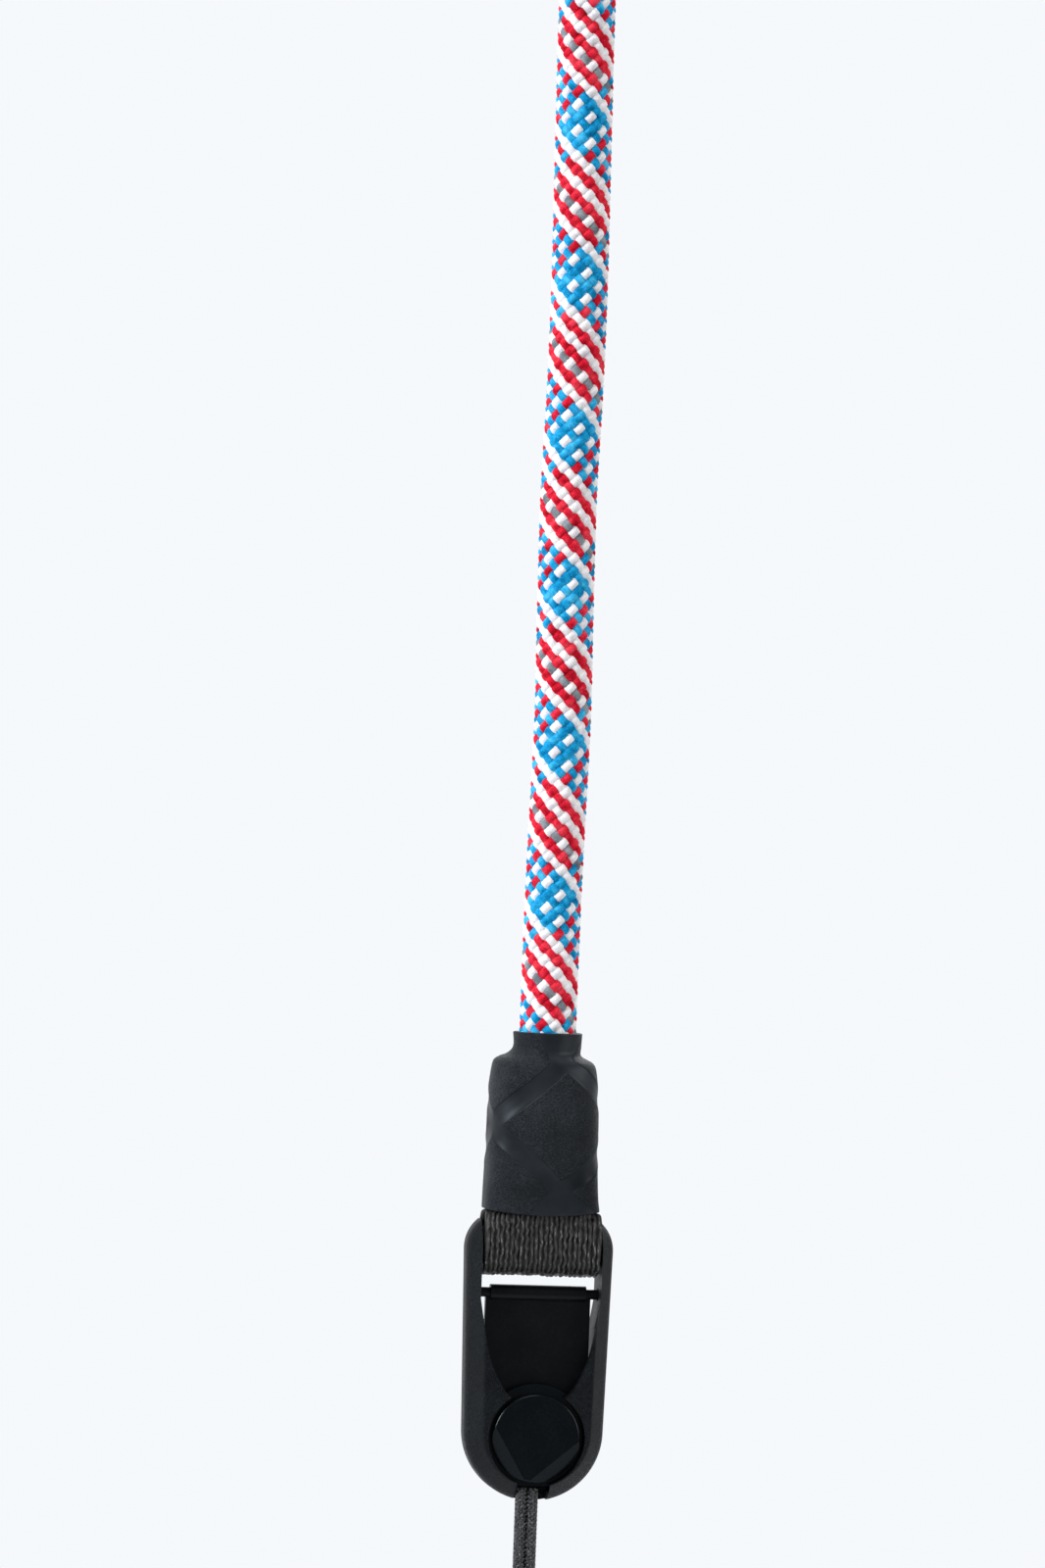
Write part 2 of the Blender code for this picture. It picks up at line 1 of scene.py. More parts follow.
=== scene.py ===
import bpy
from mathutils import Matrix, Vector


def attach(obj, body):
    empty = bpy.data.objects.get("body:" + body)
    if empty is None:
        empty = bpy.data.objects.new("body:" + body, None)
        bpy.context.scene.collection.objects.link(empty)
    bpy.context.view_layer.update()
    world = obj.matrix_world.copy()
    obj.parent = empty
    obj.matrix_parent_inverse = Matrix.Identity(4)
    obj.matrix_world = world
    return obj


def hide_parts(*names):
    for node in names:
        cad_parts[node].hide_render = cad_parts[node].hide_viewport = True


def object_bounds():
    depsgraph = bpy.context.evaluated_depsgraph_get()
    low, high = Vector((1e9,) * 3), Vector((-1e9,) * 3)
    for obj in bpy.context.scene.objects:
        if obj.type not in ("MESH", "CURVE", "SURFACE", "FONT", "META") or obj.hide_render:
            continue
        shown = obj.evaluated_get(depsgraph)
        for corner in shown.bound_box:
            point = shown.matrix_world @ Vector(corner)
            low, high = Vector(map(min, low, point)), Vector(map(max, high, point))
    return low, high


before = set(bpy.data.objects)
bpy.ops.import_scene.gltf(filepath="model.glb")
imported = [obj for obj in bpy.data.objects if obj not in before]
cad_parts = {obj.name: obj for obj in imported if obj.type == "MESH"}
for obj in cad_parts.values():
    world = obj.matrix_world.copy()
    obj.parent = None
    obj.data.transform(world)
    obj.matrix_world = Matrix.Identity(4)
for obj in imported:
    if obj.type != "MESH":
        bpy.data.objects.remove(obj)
cad_box = [list(corner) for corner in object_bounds()]

import math
import random

import bmesh
import bpy
import numpy as np
from mathutils import Matrix, Vector

# The studio: one level look at the right-hand end of the strap, with its hardware low in the picture.
# A white room with big soft lamps, a pale floor under the loops, and less light from the viewer's side.
MM = 0.001
COOL = (0.80, 0.92, 1.0, 1.0)  # the tint of the room in what black pieces reflect
PICTURE_CENTRE = (51.83 * MM, -112.0 * MM, -373.33 * MM)
PICTURE_HEIGHT = 266.7 * MM
CAMERA_DISTANCE = 1.3
FLOOR_RADIUS = 0.3
FLOOR_DROP = 25 * MM  # how far the floor lies under the lowest loop
BRIGHT_SIDE = (-0.52, 0.82, 0.24)  # where the white room is brightest

camera_data = bpy.data.cameras.new("camera")
camera_data.sensor_fit = "VERTICAL"
camera_data.sensor_height = 24.0
camera_data.lens = camera_data.sensor_height * CAMERA_DISTANCE / PICTURE_HEIGHT
camera_data.clip_start = 0.01
camera_data.clip_end = 50.0
camera = bpy.data.objects.new("camera", camera_data)
camera.location = Vector(PICTURE_CENTRE) - Vector((0, CAMERA_DISTANCE, 0))
camera.rotation_euler = (math.pi / 2, 0, 0)
bpy.context.collection.objects.link(camera)
bpy.context.scene.camera = camera
bpy.context.scene.view_settings.view_transform = "Standard"


def new_material(name, color, roughness, **sockets):
    """A material and its nodes, links and shader; sockets are set on the shader by name."""
    made = bpy.data.materials.new(name)
    made.use_nodes = True
    shader = made.node_tree.nodes["Principled BSDF"]
    shader.inputs["Base Color"].default_value = (*color, 1.0)
    shader.inputs["Roughness"].default_value = roughness
    for socket, value in sockets.items():
        shader.inputs[socket.replace("_", " ")].default_value = value
    return made, made.node_tree.nodes, made.node_tree.links, shader


def node(nodes, kind, **values):
    """A shader node; values are its settings, or input sockets if the name starts with a capital."""
    made = nodes.new(kind)
    for name, value in values.items():
        if name[0].isupper():
            made.inputs[name.replace("_", " ")].default_value = value
        else:
            setattr(made, name, value)
    return made


floor_bm = bmesh.new()
bmesh.ops.create_circle(floor_bm, cap_ends=True, segments=96, radius=FLOOR_RADIUS)
bmesh.ops.translate(floor_bm, verts=floor_bm.verts, vec=(0, 0, cad_box[0][2] - FLOOR_DROP))
floor_mesh = bpy.data.meshes.new("floor")
floor_bm.to_mesh(floor_mesh)
floor_bm.free()
floor = bpy.data.objects.new("floor", floor_mesh)
bpy.context.collection.objects.link(floor)
floor_mesh.materials.append(new_material("pale_floor", (0.62, 0.63, 0.65), 0.9)[0])

world = bpy.data.worlds.new("white_room")
bpy.context.scene.world = world
world.use_nodes = True
sky, sky_links = world.node_tree.nodes, world.node_tree.links
direction = node(sky, "ShaderNodeTexCoord")
towards = node(sky, "ShaderNodeVectorMath", operation="DOT_PRODUCT")
towards.inputs[1].default_value = BRIGHT_SIDE
falloff = node(sky, "ShaderNodeMapRange", From_Min=-0.25, From_Max=0.72, To_Min=0.32, To_Max=0.98)
falloff.interpolation_type = "SMOOTHSTEP"
sky_links.new(direction.outputs["Generated"], towards.inputs[0])
sky_links.new(towards.outputs["Value"], falloff.inputs["Value"])
sky_links.new(falloff.outputs["Result"], sky["Background"].inputs["Strength"])
sky["Background"].inputs["Color"].default_value = (0.94, 0.962, 0.99, 1.0)

for name, place, size, power, color in (
    ("key", (-1.25, -0.85, 0.25), 0.6, 27.0, (0.97, 0.985, 1.0)),
    ("side", (1.35, -0.65, -0.15), 0.7, 9.0, (1.0, 0.95, 0.90)),
    ("top", (0.0, -0.4, 1.1), 0.9, 11.0, (0.96, 0.98, 1.0)),
    ("back", (0.5, 1.3, 0.5), 1.0, 10.0, (1.0, 1.0, 1.0)),
):
    lamp = bpy.data.lights.new(name, "AREA")
    lamp.shape = "SQUARE"
    lamp.size = size
    lamp.energy = power
    lamp.color = color
    lamp_object = bpy.data.objects.new(name, lamp)
    lamp_object.location = place
    aim = Vector(PICTURE_CENTRE) - Vector(place)
    lamp_object.rotation_euler = aim.to_track_quat("-Z", "Y").to_euler()
    bpy.context.collection.objects.link(lamp_object)

# The rope: a round braid of 24 bundles of polyester yarn, one over and one under, plaited round a soft
# core. Twelve bundles run each way round, in red, white, blue and grey. It is one length, a little over a
# metre, from inside one sleeve, up and round the back of the loop, and down into the other sleeve.
ROPE_DIAMETER = 9.5 * MM
ROPE_CORE_RADIUS = 4.15 * MM
STITCH_FOOT_RADIUS = 4.10 * MM
STITCH_CREST_RADII = (4.90 * MM, 5.00 * MM)  # of the bundles down to the right, and down to the left
STITCH_HALF_LENGTH = 1.56 * MM
STITCH_HALF_WIDTH = 0.885 * MM
STITCH_DROOP = 0.22 * MM
STITCH_WOBBLE = 0.06  # how unevenly stitches lie, as a share of their size and as a turn in radians
ROPE_BRAID_RADIUS = ROPE_DIAMETER / 2 - 0.05 * MM
ROPE_SEED = 11
ROPE_LAY = 26.4 * MM  # the length in which one bundle goes once round
ROPE_PHASE_HEIGHT = -382.33 * MM  # where a grey bundle crosses the middle of the front
CARRIERS = 12  # bundles each way round
SLEEVE_COVER = 13.0 * MM  # how much of each end carries no stitches, because the sleeve hides it
ROPE_ROUTE = (
    (0.05550, -0.1120, -0.43250),
    (0.05616, -0.1120, -0.41440),
    (0.05717, -0.1120, -0.39000),
    (0.05862, -0.1120, -0.36330),
    (0.05905, -0.1120, -0.34670),
    (0.05967, -0.1120, -0.32500),
    (0.06075, -0.1120, -0.30670),
    (0.06155, -0.1120, -0.28830),
    (0.06222, -0.1120, -0.26330),
    (0.06283, -0.1122, -0.24170),
    (0.06430, -0.1130, -0.20500),
    (0.06560, -0.1130, -0.17000),
    (0.06640, -0.1095, -0.13000),
    (0.06680, -0.0990, -0.09200),
    (0.06640, -0.0820, -0.06000),
    (0.06400, -0.0620, -0.03600),
    (0.05850, -0.0395, -0.01800),
    (0.04650, -0.0170, -0.00600),
    (0.02550, -0.0005, -0.00120),
    (0.00000, 0.00475, 0.00000),
)


def smooth_route(route, step):
    """Points one step apart on the smooth curve through the route's own points."""
    points = np.array(route, dtype=float)
    points = np.vstack([2 * points[0] - points[1], points, 2 * points[-1] - points[-2]])
    t = np.linspace(0, 1, 25)[1:, None]
    fine = [points[1][None]]
    for a, b, c, d in zip(points, points[1:], points[2:], points[3:]):
        bend = (2 * a - 5 * b + 4 * c - d) * t**2 + (3 * b - a - 3 * c + d) * t**3
        fine.append(0.5 * (2 * b + (c - a) * t + bend))
    fine = np.vstack(fine)
    travelled = np.concatenate([[0], np.cumsum(np.linalg.norm(np.diff(fine, axis=0), axis=1))])
    even = np.linspace(0, travelled[-1], max(2, round(travelled[-1] / step)) + 1)
    return np.column_stack([np.interp(even, travelled, fine[:, axis]) for axis in range(3)])


def carried_frames(points, front):
    """For each point of a path its distance along it, and a front and a side that never twist."""
    along = np.concatenate([[0], np.cumsum(np.linalg.norm(np.diff(points, axis=0), axis=1))])
    ahead = np.gradient(points, axis=0)
    ahead /= np.linalg.norm(ahead, axis=1)[:, None]
    fronts = []
    front = np.array(front, dtype=float)
    for direction in ahead:
        front = front - direction * front.dot(direction)
        front /= np.linalg.norm(front)
        fronts.append(front)
    return along, np.array(fronts), np.cross(ahead, np.array(fronts))


def wrap_round(mesh, frames, points):
    """Bend a mesh that was laid out flat, x round the cord as an angle, y along it, z its radius."""
    along, fronts, sides = frames
    co = np.empty(len(mesh.vertices) * 3)
    mesh.vertices.foreach_get("co", co)
    co = co.reshape(-1, 3)
    angle, distance, radius = co.T
    bent = np.empty_like(co)
    for axis in range(3):
        middle = np.interp(distance, along, points[:, axis])
        front = np.interp(distance, along, fronts[:, axis])
        side = np.interp(distance, along, sides[:, axis])
        bent[:, axis] = middle + radius * (np.cos(angle) * front + np.sin(angle) * side)
    mesh.vertices.foreach_set("co", bent.ravel())
    mesh.update()


def piece(name, data, body, slot, *materials):
    """Link a finished mesh or curve as a piece that rides on a body and has the given materials. The slot
    is not used.
    """
    made = bpy.data.objects.new(name, data)
    bpy.context.collection.objects.link(made)
    for finish in materials:
        data.materials.append(finish)
    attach(made, body)
    return made


def cord_curve(name, points, radius, facets):
    """A curve of one open spline through the points, with a round bevel and closed ends."""
    curve = bpy.data.curves.new(name, "CURVE")
    curve.dimensions = "3D"
    curve.bevel_depth = radius
    curve.bevel_resolution = facets
    curve.use_fill_caps = True
    spline = curve.splines.new("POLY")
    spline.points.add(len(points) - 1)
    for target, point in zip(spline.points, points):
        target.co = (*point, 1.0)
    spline.use_smooth = True
    return curve


def color_ramp(nodes, *stops):
    """A colour ramp through two or more stops, each a position and a colour."""
    made = node(nodes, "ShaderNodeValToRGB")
    elements = made.color_ramp.elements
    for index, (position, color) in enumerate(stops):
        stop = elements[index] if index < 2 else elements.new(position)
        stop.position = position
        stop.color = (*color, 1.0)
    return made


def scaled(nodes, links, source, factor, added=None):
    """The output of a source times a factor, plus another source if one is added."""
    made = node(nodes, "ShaderNodeMath", operation="MULTIPLY_ADD" if added else "MULTIPLY")
    made.inputs[1].default_value = factor
    links.new(source, made.inputs[0])
    if added:
        links.new(added, made.inputs[2])
    return made.outputs[0]


def bumped(nodes, links, shader, source, strength, depth):
    """Let a source stand out as bumps on the shader."""
    bump = node(nodes, "ShaderNodeBump", Strength=strength, Distance=depth)
    links.new(source, bump.inputs["Height"])
    links.new(bump.outputs["Normal"], shader.inputs["Normal"])


def yarn_material(name, color, dark, light, roughness=0.55, gloss=0.08, patch_scale=520.0):
    """Filament yarn: fine streaks along the bundle, from the piece's own UV map, with painted glints in
    its lighter streaks and painted shade in its darker ones.
    """
    made, nodes, links, shader = new_material(name, color, roughness, Specular_IOR_Level=gloss)
    place = node(nodes, "ShaderNodeUVMap", uv_map="yarn")
    spot = node(nodes, "ShaderNodeTexCoord")
    stretch = node(nodes, "ShaderNodeMapping", Scale=(13.0, 2.2, 1.0))
    streaks = node(
        nodes, "ShaderNodeTexNoise", noise_dimensions="4D", Scale=1.0, Detail=3.0, Roughness=0.62
    )
    patches = node(nodes, "ShaderNodeTexNoise", Scale=patch_scale, Detail=1.5)
    links.new(spot.outputs["Object"], patches.inputs["Vector"])
    links.new(scaled(nodes, links, patches.outputs["Fac"], 40.0), streaks.inputs["W"])
    links.new(place.outputs["UV"], stretch.inputs["Vector"])
    links.new(stretch.outputs["Vector"], streaks.inputs["Vector"])
    both = node(nodes, "ShaderNodeMix", data_type="FLOAT")
    both.inputs[0].default_value = 0.45
    links.new(streaks.outputs["Fac"], both.inputs[2])
    links.new(patches.outputs["Fac"], both.inputs[3])
    # Painted light: the dark stop paints shade and the light stop paints glints on the random streaks,
    # around the yarn's own colour.
    tone = color_ramp(nodes, (0.36, dark), (0.49, color), (0.64, light))
    links.new(both.outputs[0], tone.inputs["Fac"])
    links.new(tone.outputs["Color"], shader.inputs["Base Color"])
    bumped(nodes, links, shader, streaks.outputs["Fac"], 0.8, 0.00016)
    return made


# Each yarn: its own colour, a darker colour for painted shade, and a lighter colour for painted glints.
YARNS = {
    "red": yarn_material("red_yarn", (0.74, 0.006, 0.030), (0.24, 0.0, 0.006), (0.92, 0.08, 0.12)),
    "white": yarn_material("white_yarn", (0.93, 0.92, 0.95), (0.68, 0.66, 0.72), (0.97, 0.97, 0.98)),
    "blue": yarn_material("blue_yarn", (0.001, 0.34, 0.70), (0.0, 0.11, 0.26), (0.10, 0.60, 0.90)),
    "grey": yarn_material("grey_yarn", (0.20, 0.23, 0.26), (0.09, 0.11, 0.13), (0.38, 0.42, 0.46)),
}
# Bundles that go down to the right, and bundles that go down to the left, in their order round the rope
DOWN_RIGHT = ("grey", "red", "white", *["blue"] * 5, "white", "red", "white", "red")
DOWN_LEFT = (*["red", "white"] * 2, *["blue", "white"] * 2, *["red", "white"] * 2)

other_half = [(-x, y, z) for x, y, z in reversed(ROPE_ROUTE[:-1])]
rope_points = smooth_route([*ROPE_ROUTE, *other_half], 2 * MM)
rope_frames = carried_frames(rope_points, (0, -1, 0))
rope_reach = rope_frames[0][-1]
phase_point = np.interp(ROPE_PHASE_HEIGHT, rope_points[:100, 2], rope_frames[0][:100])


def stitch_bmesh(cuts, half_length, half_width, foot, crest, droop):
    """One visible stitch of a bundle: a grid whose crown is round across and dives at both ends."""
    bm = bmesh.new()
    bm.loops.layers.uv.new("yarn")
    bmesh.ops.create_grid(bm, x_segments=cuts, y_segments=cuts, size=1.0, calc_uvs=True)
    for vert in bm.verts:
        across, run = vert.co.x, vert.co.y
        round_across = math.sqrt(max(0.0, 1 - across**2 * 0.98))
        dive = 1 - abs(run) ** 2.4
        height = foot + (crest - foot) * (round_across * 0.85 + 0.15) * dive
        height -= droop * (1 - dive) * (1 - across**2)
        width = half_width * (1 - 0.16 * run**2)
        vert.co = (across * width, run * half_length, height)
    return bm


def braid_lay(name, stitch, lay, carriers, radius, over, colors, seed):
    """One lay of the stitches of one set of bundles, laid out flat: x angle, y along, z radius."""
    rng = random.Random(seed)
    bm = bmesh.new()
    stamp = bpy.data.meshes.new(name)
    stitch.to_mesh(stamp)
    slope = math.atan2(lay, 2 * math.pi * radius)
    lean = 1 if over == 0 else -1
    spin_angle = math.pi / 2 - slope if lean > 0 else slope - math.pi / 2
    for i in range(carriers):
        for j in range(carriers):
            if (i + j) % 2 != over:
                continue
            for k in range(2):
                before = len(bm.verts)
                bm.from_mesh(stamp)
                bm.verts.ensure_lookup_table()
                bm.faces.ensure_lookup_table()
                fresh = bm.verts[before:]
                turn = spin_angle + rng.uniform(-STITCH_WOBBLE, STITCH_WOBBLE)
                plump = 1 + rng.uniform(-STITCH_WOBBLE, STITCH_WOBBLE)
                shift = rng.uniform(-STITCH_WOBBLE, STITCH_WOBBLE) * MM * 0.5
                bmesh.ops.rotate(bm, verts=fresh, cent=(0, 0, 0), matrix=Matrix.Rotation(turn, 3, "Z"))
                angle = math.pi * (j - i) / carriers + math.pi * k
                along = -(lay * (i + j) / (2 * carriers) + lay * k / 2)
                for vert in fresh:
                    vert.co = (
                        vert.co.x / radius * plump + angle,
                        vert.co.y * plump + along + shift,
                        vert.co.z,
                    )
                tint = colors[i if over == 0 else j]
                for face in bm.faces[-len(stitch.faces) :]:
                    face.material_index = tint
    made = bpy.data.meshes.new(name)
    bm.to_mesh(made)
    bm.free()
    bpy.data.meshes.remove(stamp)
    return made


def braid_mesh(name, one_lay, lay, first, last, phase, stitch_size):
    """The lay repeated along the cord, without the stitches whose middle is past either end."""
    bm = bmesh.new()
    low = math.floor((first - phase) / lay)
    high = math.ceil((last - phase) / lay) + 1
    for turn in range(low, high + 1):
        before = len(bm.verts)
        bm.from_mesh(one_lay)
        bm.verts.ensure_lookup_table()
        bmesh.ops.translate(bm, verts=bm.verts[before:], vec=(0, phase + lay * turn, 0))
    bm.verts.ensure_lookup_table()
    extra = []
    for start in range(0, len(bm.verts), stitch_size):
        group = bm.verts[start : start + stitch_size]
        middle = sum(vert.co.y for vert in group) / stitch_size
        if not first <= middle <= last:
            extra.extend(group)
    bmesh.ops.delete(bm, geom=extra, context="VERTS")
    mesh = bpy.data.meshes.new(name)
    bm.to_mesh(mesh)
    bm.free()
    mesh.shade_smooth()
    return mesh


rope_yarns = list(YARNS)
for over, (label, colors) in enumerate((("down_right", DOWN_RIGHT), ("down_left", DOWN_LEFT))):
    stitch = stitch_bmesh(
        4,
        STITCH_HALF_LENGTH,
        STITCH_HALF_WIDTH,
        STITCH_FOOT_RADIUS,
        STITCH_CREST_RADII[over],
        STITCH_DROOP,
    )
    tints = [rope_yarns.index(color) for color in colors]
    lay = braid_lay(
        f"lay_{label}", stitch, ROPE_LAY, CARRIERS, ROPE_BRAID_RADIUS, over, tints, ROPE_SEED + over
    )
    mesh = braid_mesh(
        f"rope_{label}",
        lay,
        ROPE_LAY,
        SLEEVE_COVER,
        rope_reach - SLEEVE_COVER,
        phase_point,
        len(stitch.verts),
    )
    stitch.free()
    wrap_round(mesh, rope_frames, rope_points)
    piece(f"rope_yarns_{label}", mesh, "strap", "rope", *YARNS.values())

# The core shows only in the seams between the stitches. Its dark colour is painted shade there, with a
# faint random grain.
seam_shade_finish, nodes, links, shader = new_material(
    "rope_core_seam_shade", (0.20, 0.22, 0.26), 0.9, Specular_IOR_Level=0.1
)
grain = node(nodes, "ShaderNodeTexNoise", Scale=900.0, Detail=2.0)
tone = color_ramp(nodes, (0.0, (0.012, 0.014, 0.02)), (1.0, (0.06, 0.065, 0.08)))
place = node(nodes, "ShaderNodeTexCoord")
links.new(place.outputs["Object"], grain.inputs["Vector"])
links.new(grain.outputs["Fac"], tone.inputs["Fac"])
links.new(tone.outputs["Color"], shader.inputs["Base Color"])

rope_core_seam_shade = piece(
    "rope_core_seam_shade",
    cord_curve("rope_core_seam_shade", rope_points[::2], ROPE_CORE_RADIUS, 4),
    "strap",
    "rope",
    seam_shade_finish,
)
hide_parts("rope")

# Each end hangs in front. It leans outwards by two degrees and is turned a little on its own upright, and
# both ends are the same, not mirrored. An end's pieces are drawn in its own frame: x to the right, -y out
# of the front, z up along the link, from the middle of the button's seat.
END_PLACE = (53.6 * MM, -112.0 * MM, -484.3 * MM)
END_LEAN = math.radians(2.1)
END_TURN = math.radians(8.5)
THICKNESS = 9.0 * MM
ENDS = {}
for side_name, sign in (("right", 1), ("left", -1)):
    ENDS[side_name] = (
        Matrix.Translation((sign * END_PLACE[0], END_PLACE[1], END_PLACE[2]))
        @ Matrix.Rotation(sign * END_LEAN, 4, "Y")
        @ Matrix.Rotation(sign * END_TURN, 4, "Z")
    )


def end_pieces(name, mesh, body, slot, node_name, *materials):
    """The same mesh at both ends: copied, put in its place, and set in for the CAD node."""
    for side, place in ENDS.items():
        copy = mesh.copy()
        copy.transform(place)
        copy.update()
        made = piece(f"{side}_{name}", copy, body.format(side), slot, *materials)
        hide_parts(node_name.format(side))
    bpy.data.meshes.remove(mesh)


# The anchor cords: on each button a loop of thin, hard-laid cord hangs down, and its two runs lie side by
# side in the link's slot. The cord is a fine black braid whose stitches stand out like small beads.
CORD_DIAMETER = 1.8 * MM
CORD_LAY = 4.5 * MM
CORD_CARRIERS = 6
CORD_SEED = 31
CORD_CORE_RADIUS = 0.74 * MM
CORD_BRAID_RADIUS = CORD_DIAMETER / 2 - 0.05 * MM
CORD_END_SPACE = 0.2 * MM  # how much of each end carries no beads
BEAD_FOOT_RADIUS = 0.70 * MM
BEAD_CREST_RADIUS = 1.05 * MM
BEAD_HALF_LENGTH = 0.45 * MM
BEAD_HALF_WIDTH = 0.35 * MM
BEAD_DROOP = 0.12 * MM
CORD_SHIFT = -0.95 * MM
CORD_Y = -1.45 * MM
# Across and up, from the button down to the end of the loop
CORD_ROUTE = (
    (0.00097, -0.0085),
    (0.00097, -0.0125),
    (0.00097, -0.0180),
    (0.00097, -0.0240),
    (0.00112, -0.0290),
    (0.00190, -0.0334),
    (0.00330, -0.0374),
    (0.00425, -0.0410),
    (0.00420, -0.0440),
    (0.00280, -0.0468),
    (0.00000, -0.0478),
)
# The cord's own black, a darker colour for painted shade, and a light grey for painted glints on the
# beads.
bead_finish = yarn_material(
    "cord_beads",
    (0.008, 0.009, 0.010),
    (0.001, 0.001, 0.001),
    (0.18, 0.19, 0.205),
    roughness=0.24,
    gloss=0.55,
    patch_scale=2600.0,
)
cord_core_finish = new_material("cord_core", (0.003, 0.003, 0.003), 0.9, Specular_IOR_Level=0.1)[0]
down = [(CORD_SHIFT + x, CORD_Y, z) for x, z in CORD_ROUTE]
up = [(CORD_SHIFT - x, CORD_Y, z) for x, z in reversed(CORD_ROUTE[:-1])]
cord_path = smooth_route(down + up, 0.5 * MM)
for side, place in ENDS.items():
    points = np.array([place @ Vector(point) for point in cord_path])
    frames = carried_frames(points, place.to_3x3() @ Vector((0, -1, 0)))
    for over, label in enumerate(("down_right", "down_left")):
        stitch = stitch_bmesh(
            3,
            BEAD_HALF_LENGTH,
            BEAD_HALF_WIDTH,
            BEAD_FOOT_RADIUS,
            BEAD_CREST_RADIUS,
            BEAD_DROOP,
        )
        tints = [0] * CORD_CARRIERS
        lay = braid_lay(
            f"cord_{label}", stitch, CORD_LAY, CORD_CARRIERS, CORD_BRAID_RADIUS, over, tints, CORD_SEED
        )
        mesh = braid_mesh(
            f"{side}_cord_{label}",
            lay,
            CORD_LAY,
            CORD_END_SPACE,
            frames[0][-1] - CORD_END_SPACE,
            0.0,
            len(stitch.verts),
        )
        stitch.free()
        wrap_round(mesh, frames, points)
        name = f"{side}_cord_beads_{label}"
        piece(name, mesh, f"{side}_anchor", "anchor_cord", bead_finish)
    core = piece(
        f"{side}_cord_core",
        cord_curve(f"{side}_cord_core", points[::2], CORD_CORE_RADIUS, 3),
        f"{side}_anchor",
        "anchor_cord",
        cord_core_finish,
    )
    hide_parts(f"{side}_anchor_cord")

# The sleeves: a black rubbery tube is drawn tight over the rope's end and the two legs of the webbing
# that clasp it. It is round at its neck, fat round the rope and flat at its foot. Smooth grooves cross it
# aslant and leave grained diamonds between them.
SLEEVE_TOP = 68.8 * MM
SLEEVE_LENGTH = 30.2 * MM
SLEEVE_WALL = 0.85 * MM
SLEEVE_SIDES = 160
SLEEVE_NECK = (5.9 * MM, 5.9 * MM)
SLEEVE_BODY = (9.5 * MM, 8.0 * MM)
SLEEVE_FOOT = (9.9 * MM, 5.45 * MM)
# Columns: height as a share from the top down, swell of the width and of the depth from neck to body,
# sideways shift as a share of the body's half width, squareness of the section
SHOULDER = (
    (0.0, 0.0, 0.0, 0.0, 2.0),
    (0.08, -0.03, 0.0, 0.0, 2.0),
    (0.12, 0.08, 0.06, -0.05, 2.1),
    (0.14, 0.36, 0.30, -0.09, 2.2),
    (0.16, 0.66, 0.55, -0.07, 2.3),
    (0.19, 0.80, 0.75, -0.05, 2.4),
    (0.26, 0.89, 0.95, -0.045, 2.5),
    (0.33, 0.93, 1.0, -0.045, 2.6),
    (0.48, 0.98, 1.0, -0.035, 2.6),
    (0.61, 0.99, 1.0, -0.035, 2.7),
)
# The same columns, with the swell from body to foot
FOOT = (
    (0.79, 0.15, 0.33, -0.035, 3.1),
    (0.92, 0.50, 0.78, -0.028, 3.8),
    (1.0, 1.0, 1.0, -0.013, 4.0),
)
DIAMOND_MIDDLE = (3.3 * MM, 53.1 * MM)
DIAMOND_WIDTH = 28.9 * MM
DIAMOND_HEIGHT = 22.3 * MM
BARE_DIAMONDS = ((1, -1), (-1, 1))  # those at the neck and the foot in front, smooth like the grooves
GROOVE_SHARE = 0.092
GROOVE_DEPTH = 0.16 * MM
DIAMOND_RIM = 0.03 * MM
NECK_FADE = 3.0 * MM  # the grooves run out over this much of the neck
FOOT_FADE = 2.5 * MM  # and over this much of the foot
SLEEVE_STEP = 0.3 * MM
FOOT_SAG = 0.8 * MM  # how much lower the foot's edge hangs in its middle
SAG_REACH = 6 * MM
SLEEVE_LIP_ROUND = 0.22 * MM


def skin_rings(rings, closed=False):
    """A bmesh through rings of points, each extruded from the one before, then capped or joined."""
    bm = bmesh.new()
    verts = [bm.verts.new(point) for point in rings[0]]
    edges = [bm.edges.new((verts[i - 1], verts[i])) for i in range(len(verts))]
    if not closed:
        bm.faces.new(verts)
    for ring in rings[1:] + (rings[:1] if closed else []):
        grown = bmesh.ops.extrude_edge_only(bm, edges=edges)["geom"]
        edges = [item for item in grown if isinstance(item, bmesh.types.BMEdge)]
        fresh = {item for item in grown if isinstance(item, bmesh.types.BMVert)}
        risen = {edge.other_vert(vert): vert for vert in fresh for edge in vert.link_edges}
        verts = [risen[vert] for vert in verts]
        for vert, point in zip(verts, ring):
            vert.co = point
    if closed:
        bmesh.ops.remove_doubles(bm, verts=bm.verts, dist=0.001 * MM)
    else:
        bm.faces.new(verts)
    return bm


def finished_mesh(bm, name, smooth_under=35.0):
    """A mesh of the bmesh, faces pointing out, shaded smooth up to the given angle."""
    bmesh.ops.recalc_face_normals(bm, faces=bm.faces)
    mesh = bpy.data.meshes.new(name)
    bm.to_mesh(mesh)
    bm.free()
    mesh.shade_smooth()
    mesh.set_sharp_from_angle(angle=math.radians(smooth_under))
    return mesh


def eased(rows, steps):
    """More rows between a table's own, on the smooth curve through them."""
    table = np.array(rows, dtype=float)
    padded = np.vstack([2 * table[0] - table[1], table, 2 * table[-1] - table[-2]])
    fine = [table[0][None]]
    t = np.linspace(0, 1, steps + 1)[1:, None]
    for a, b, c, d in zip(padded, padded[1:], padded[2:], padded[3:]):
        bend = (2 * a - 5 * b + 4 * c - d) * t**2 + (3 * b - a - 3 * c + d) * t**3
        fine.append(0.5 * (2 * b + (c - a) * t + bend))
    return np.vstack(fine)


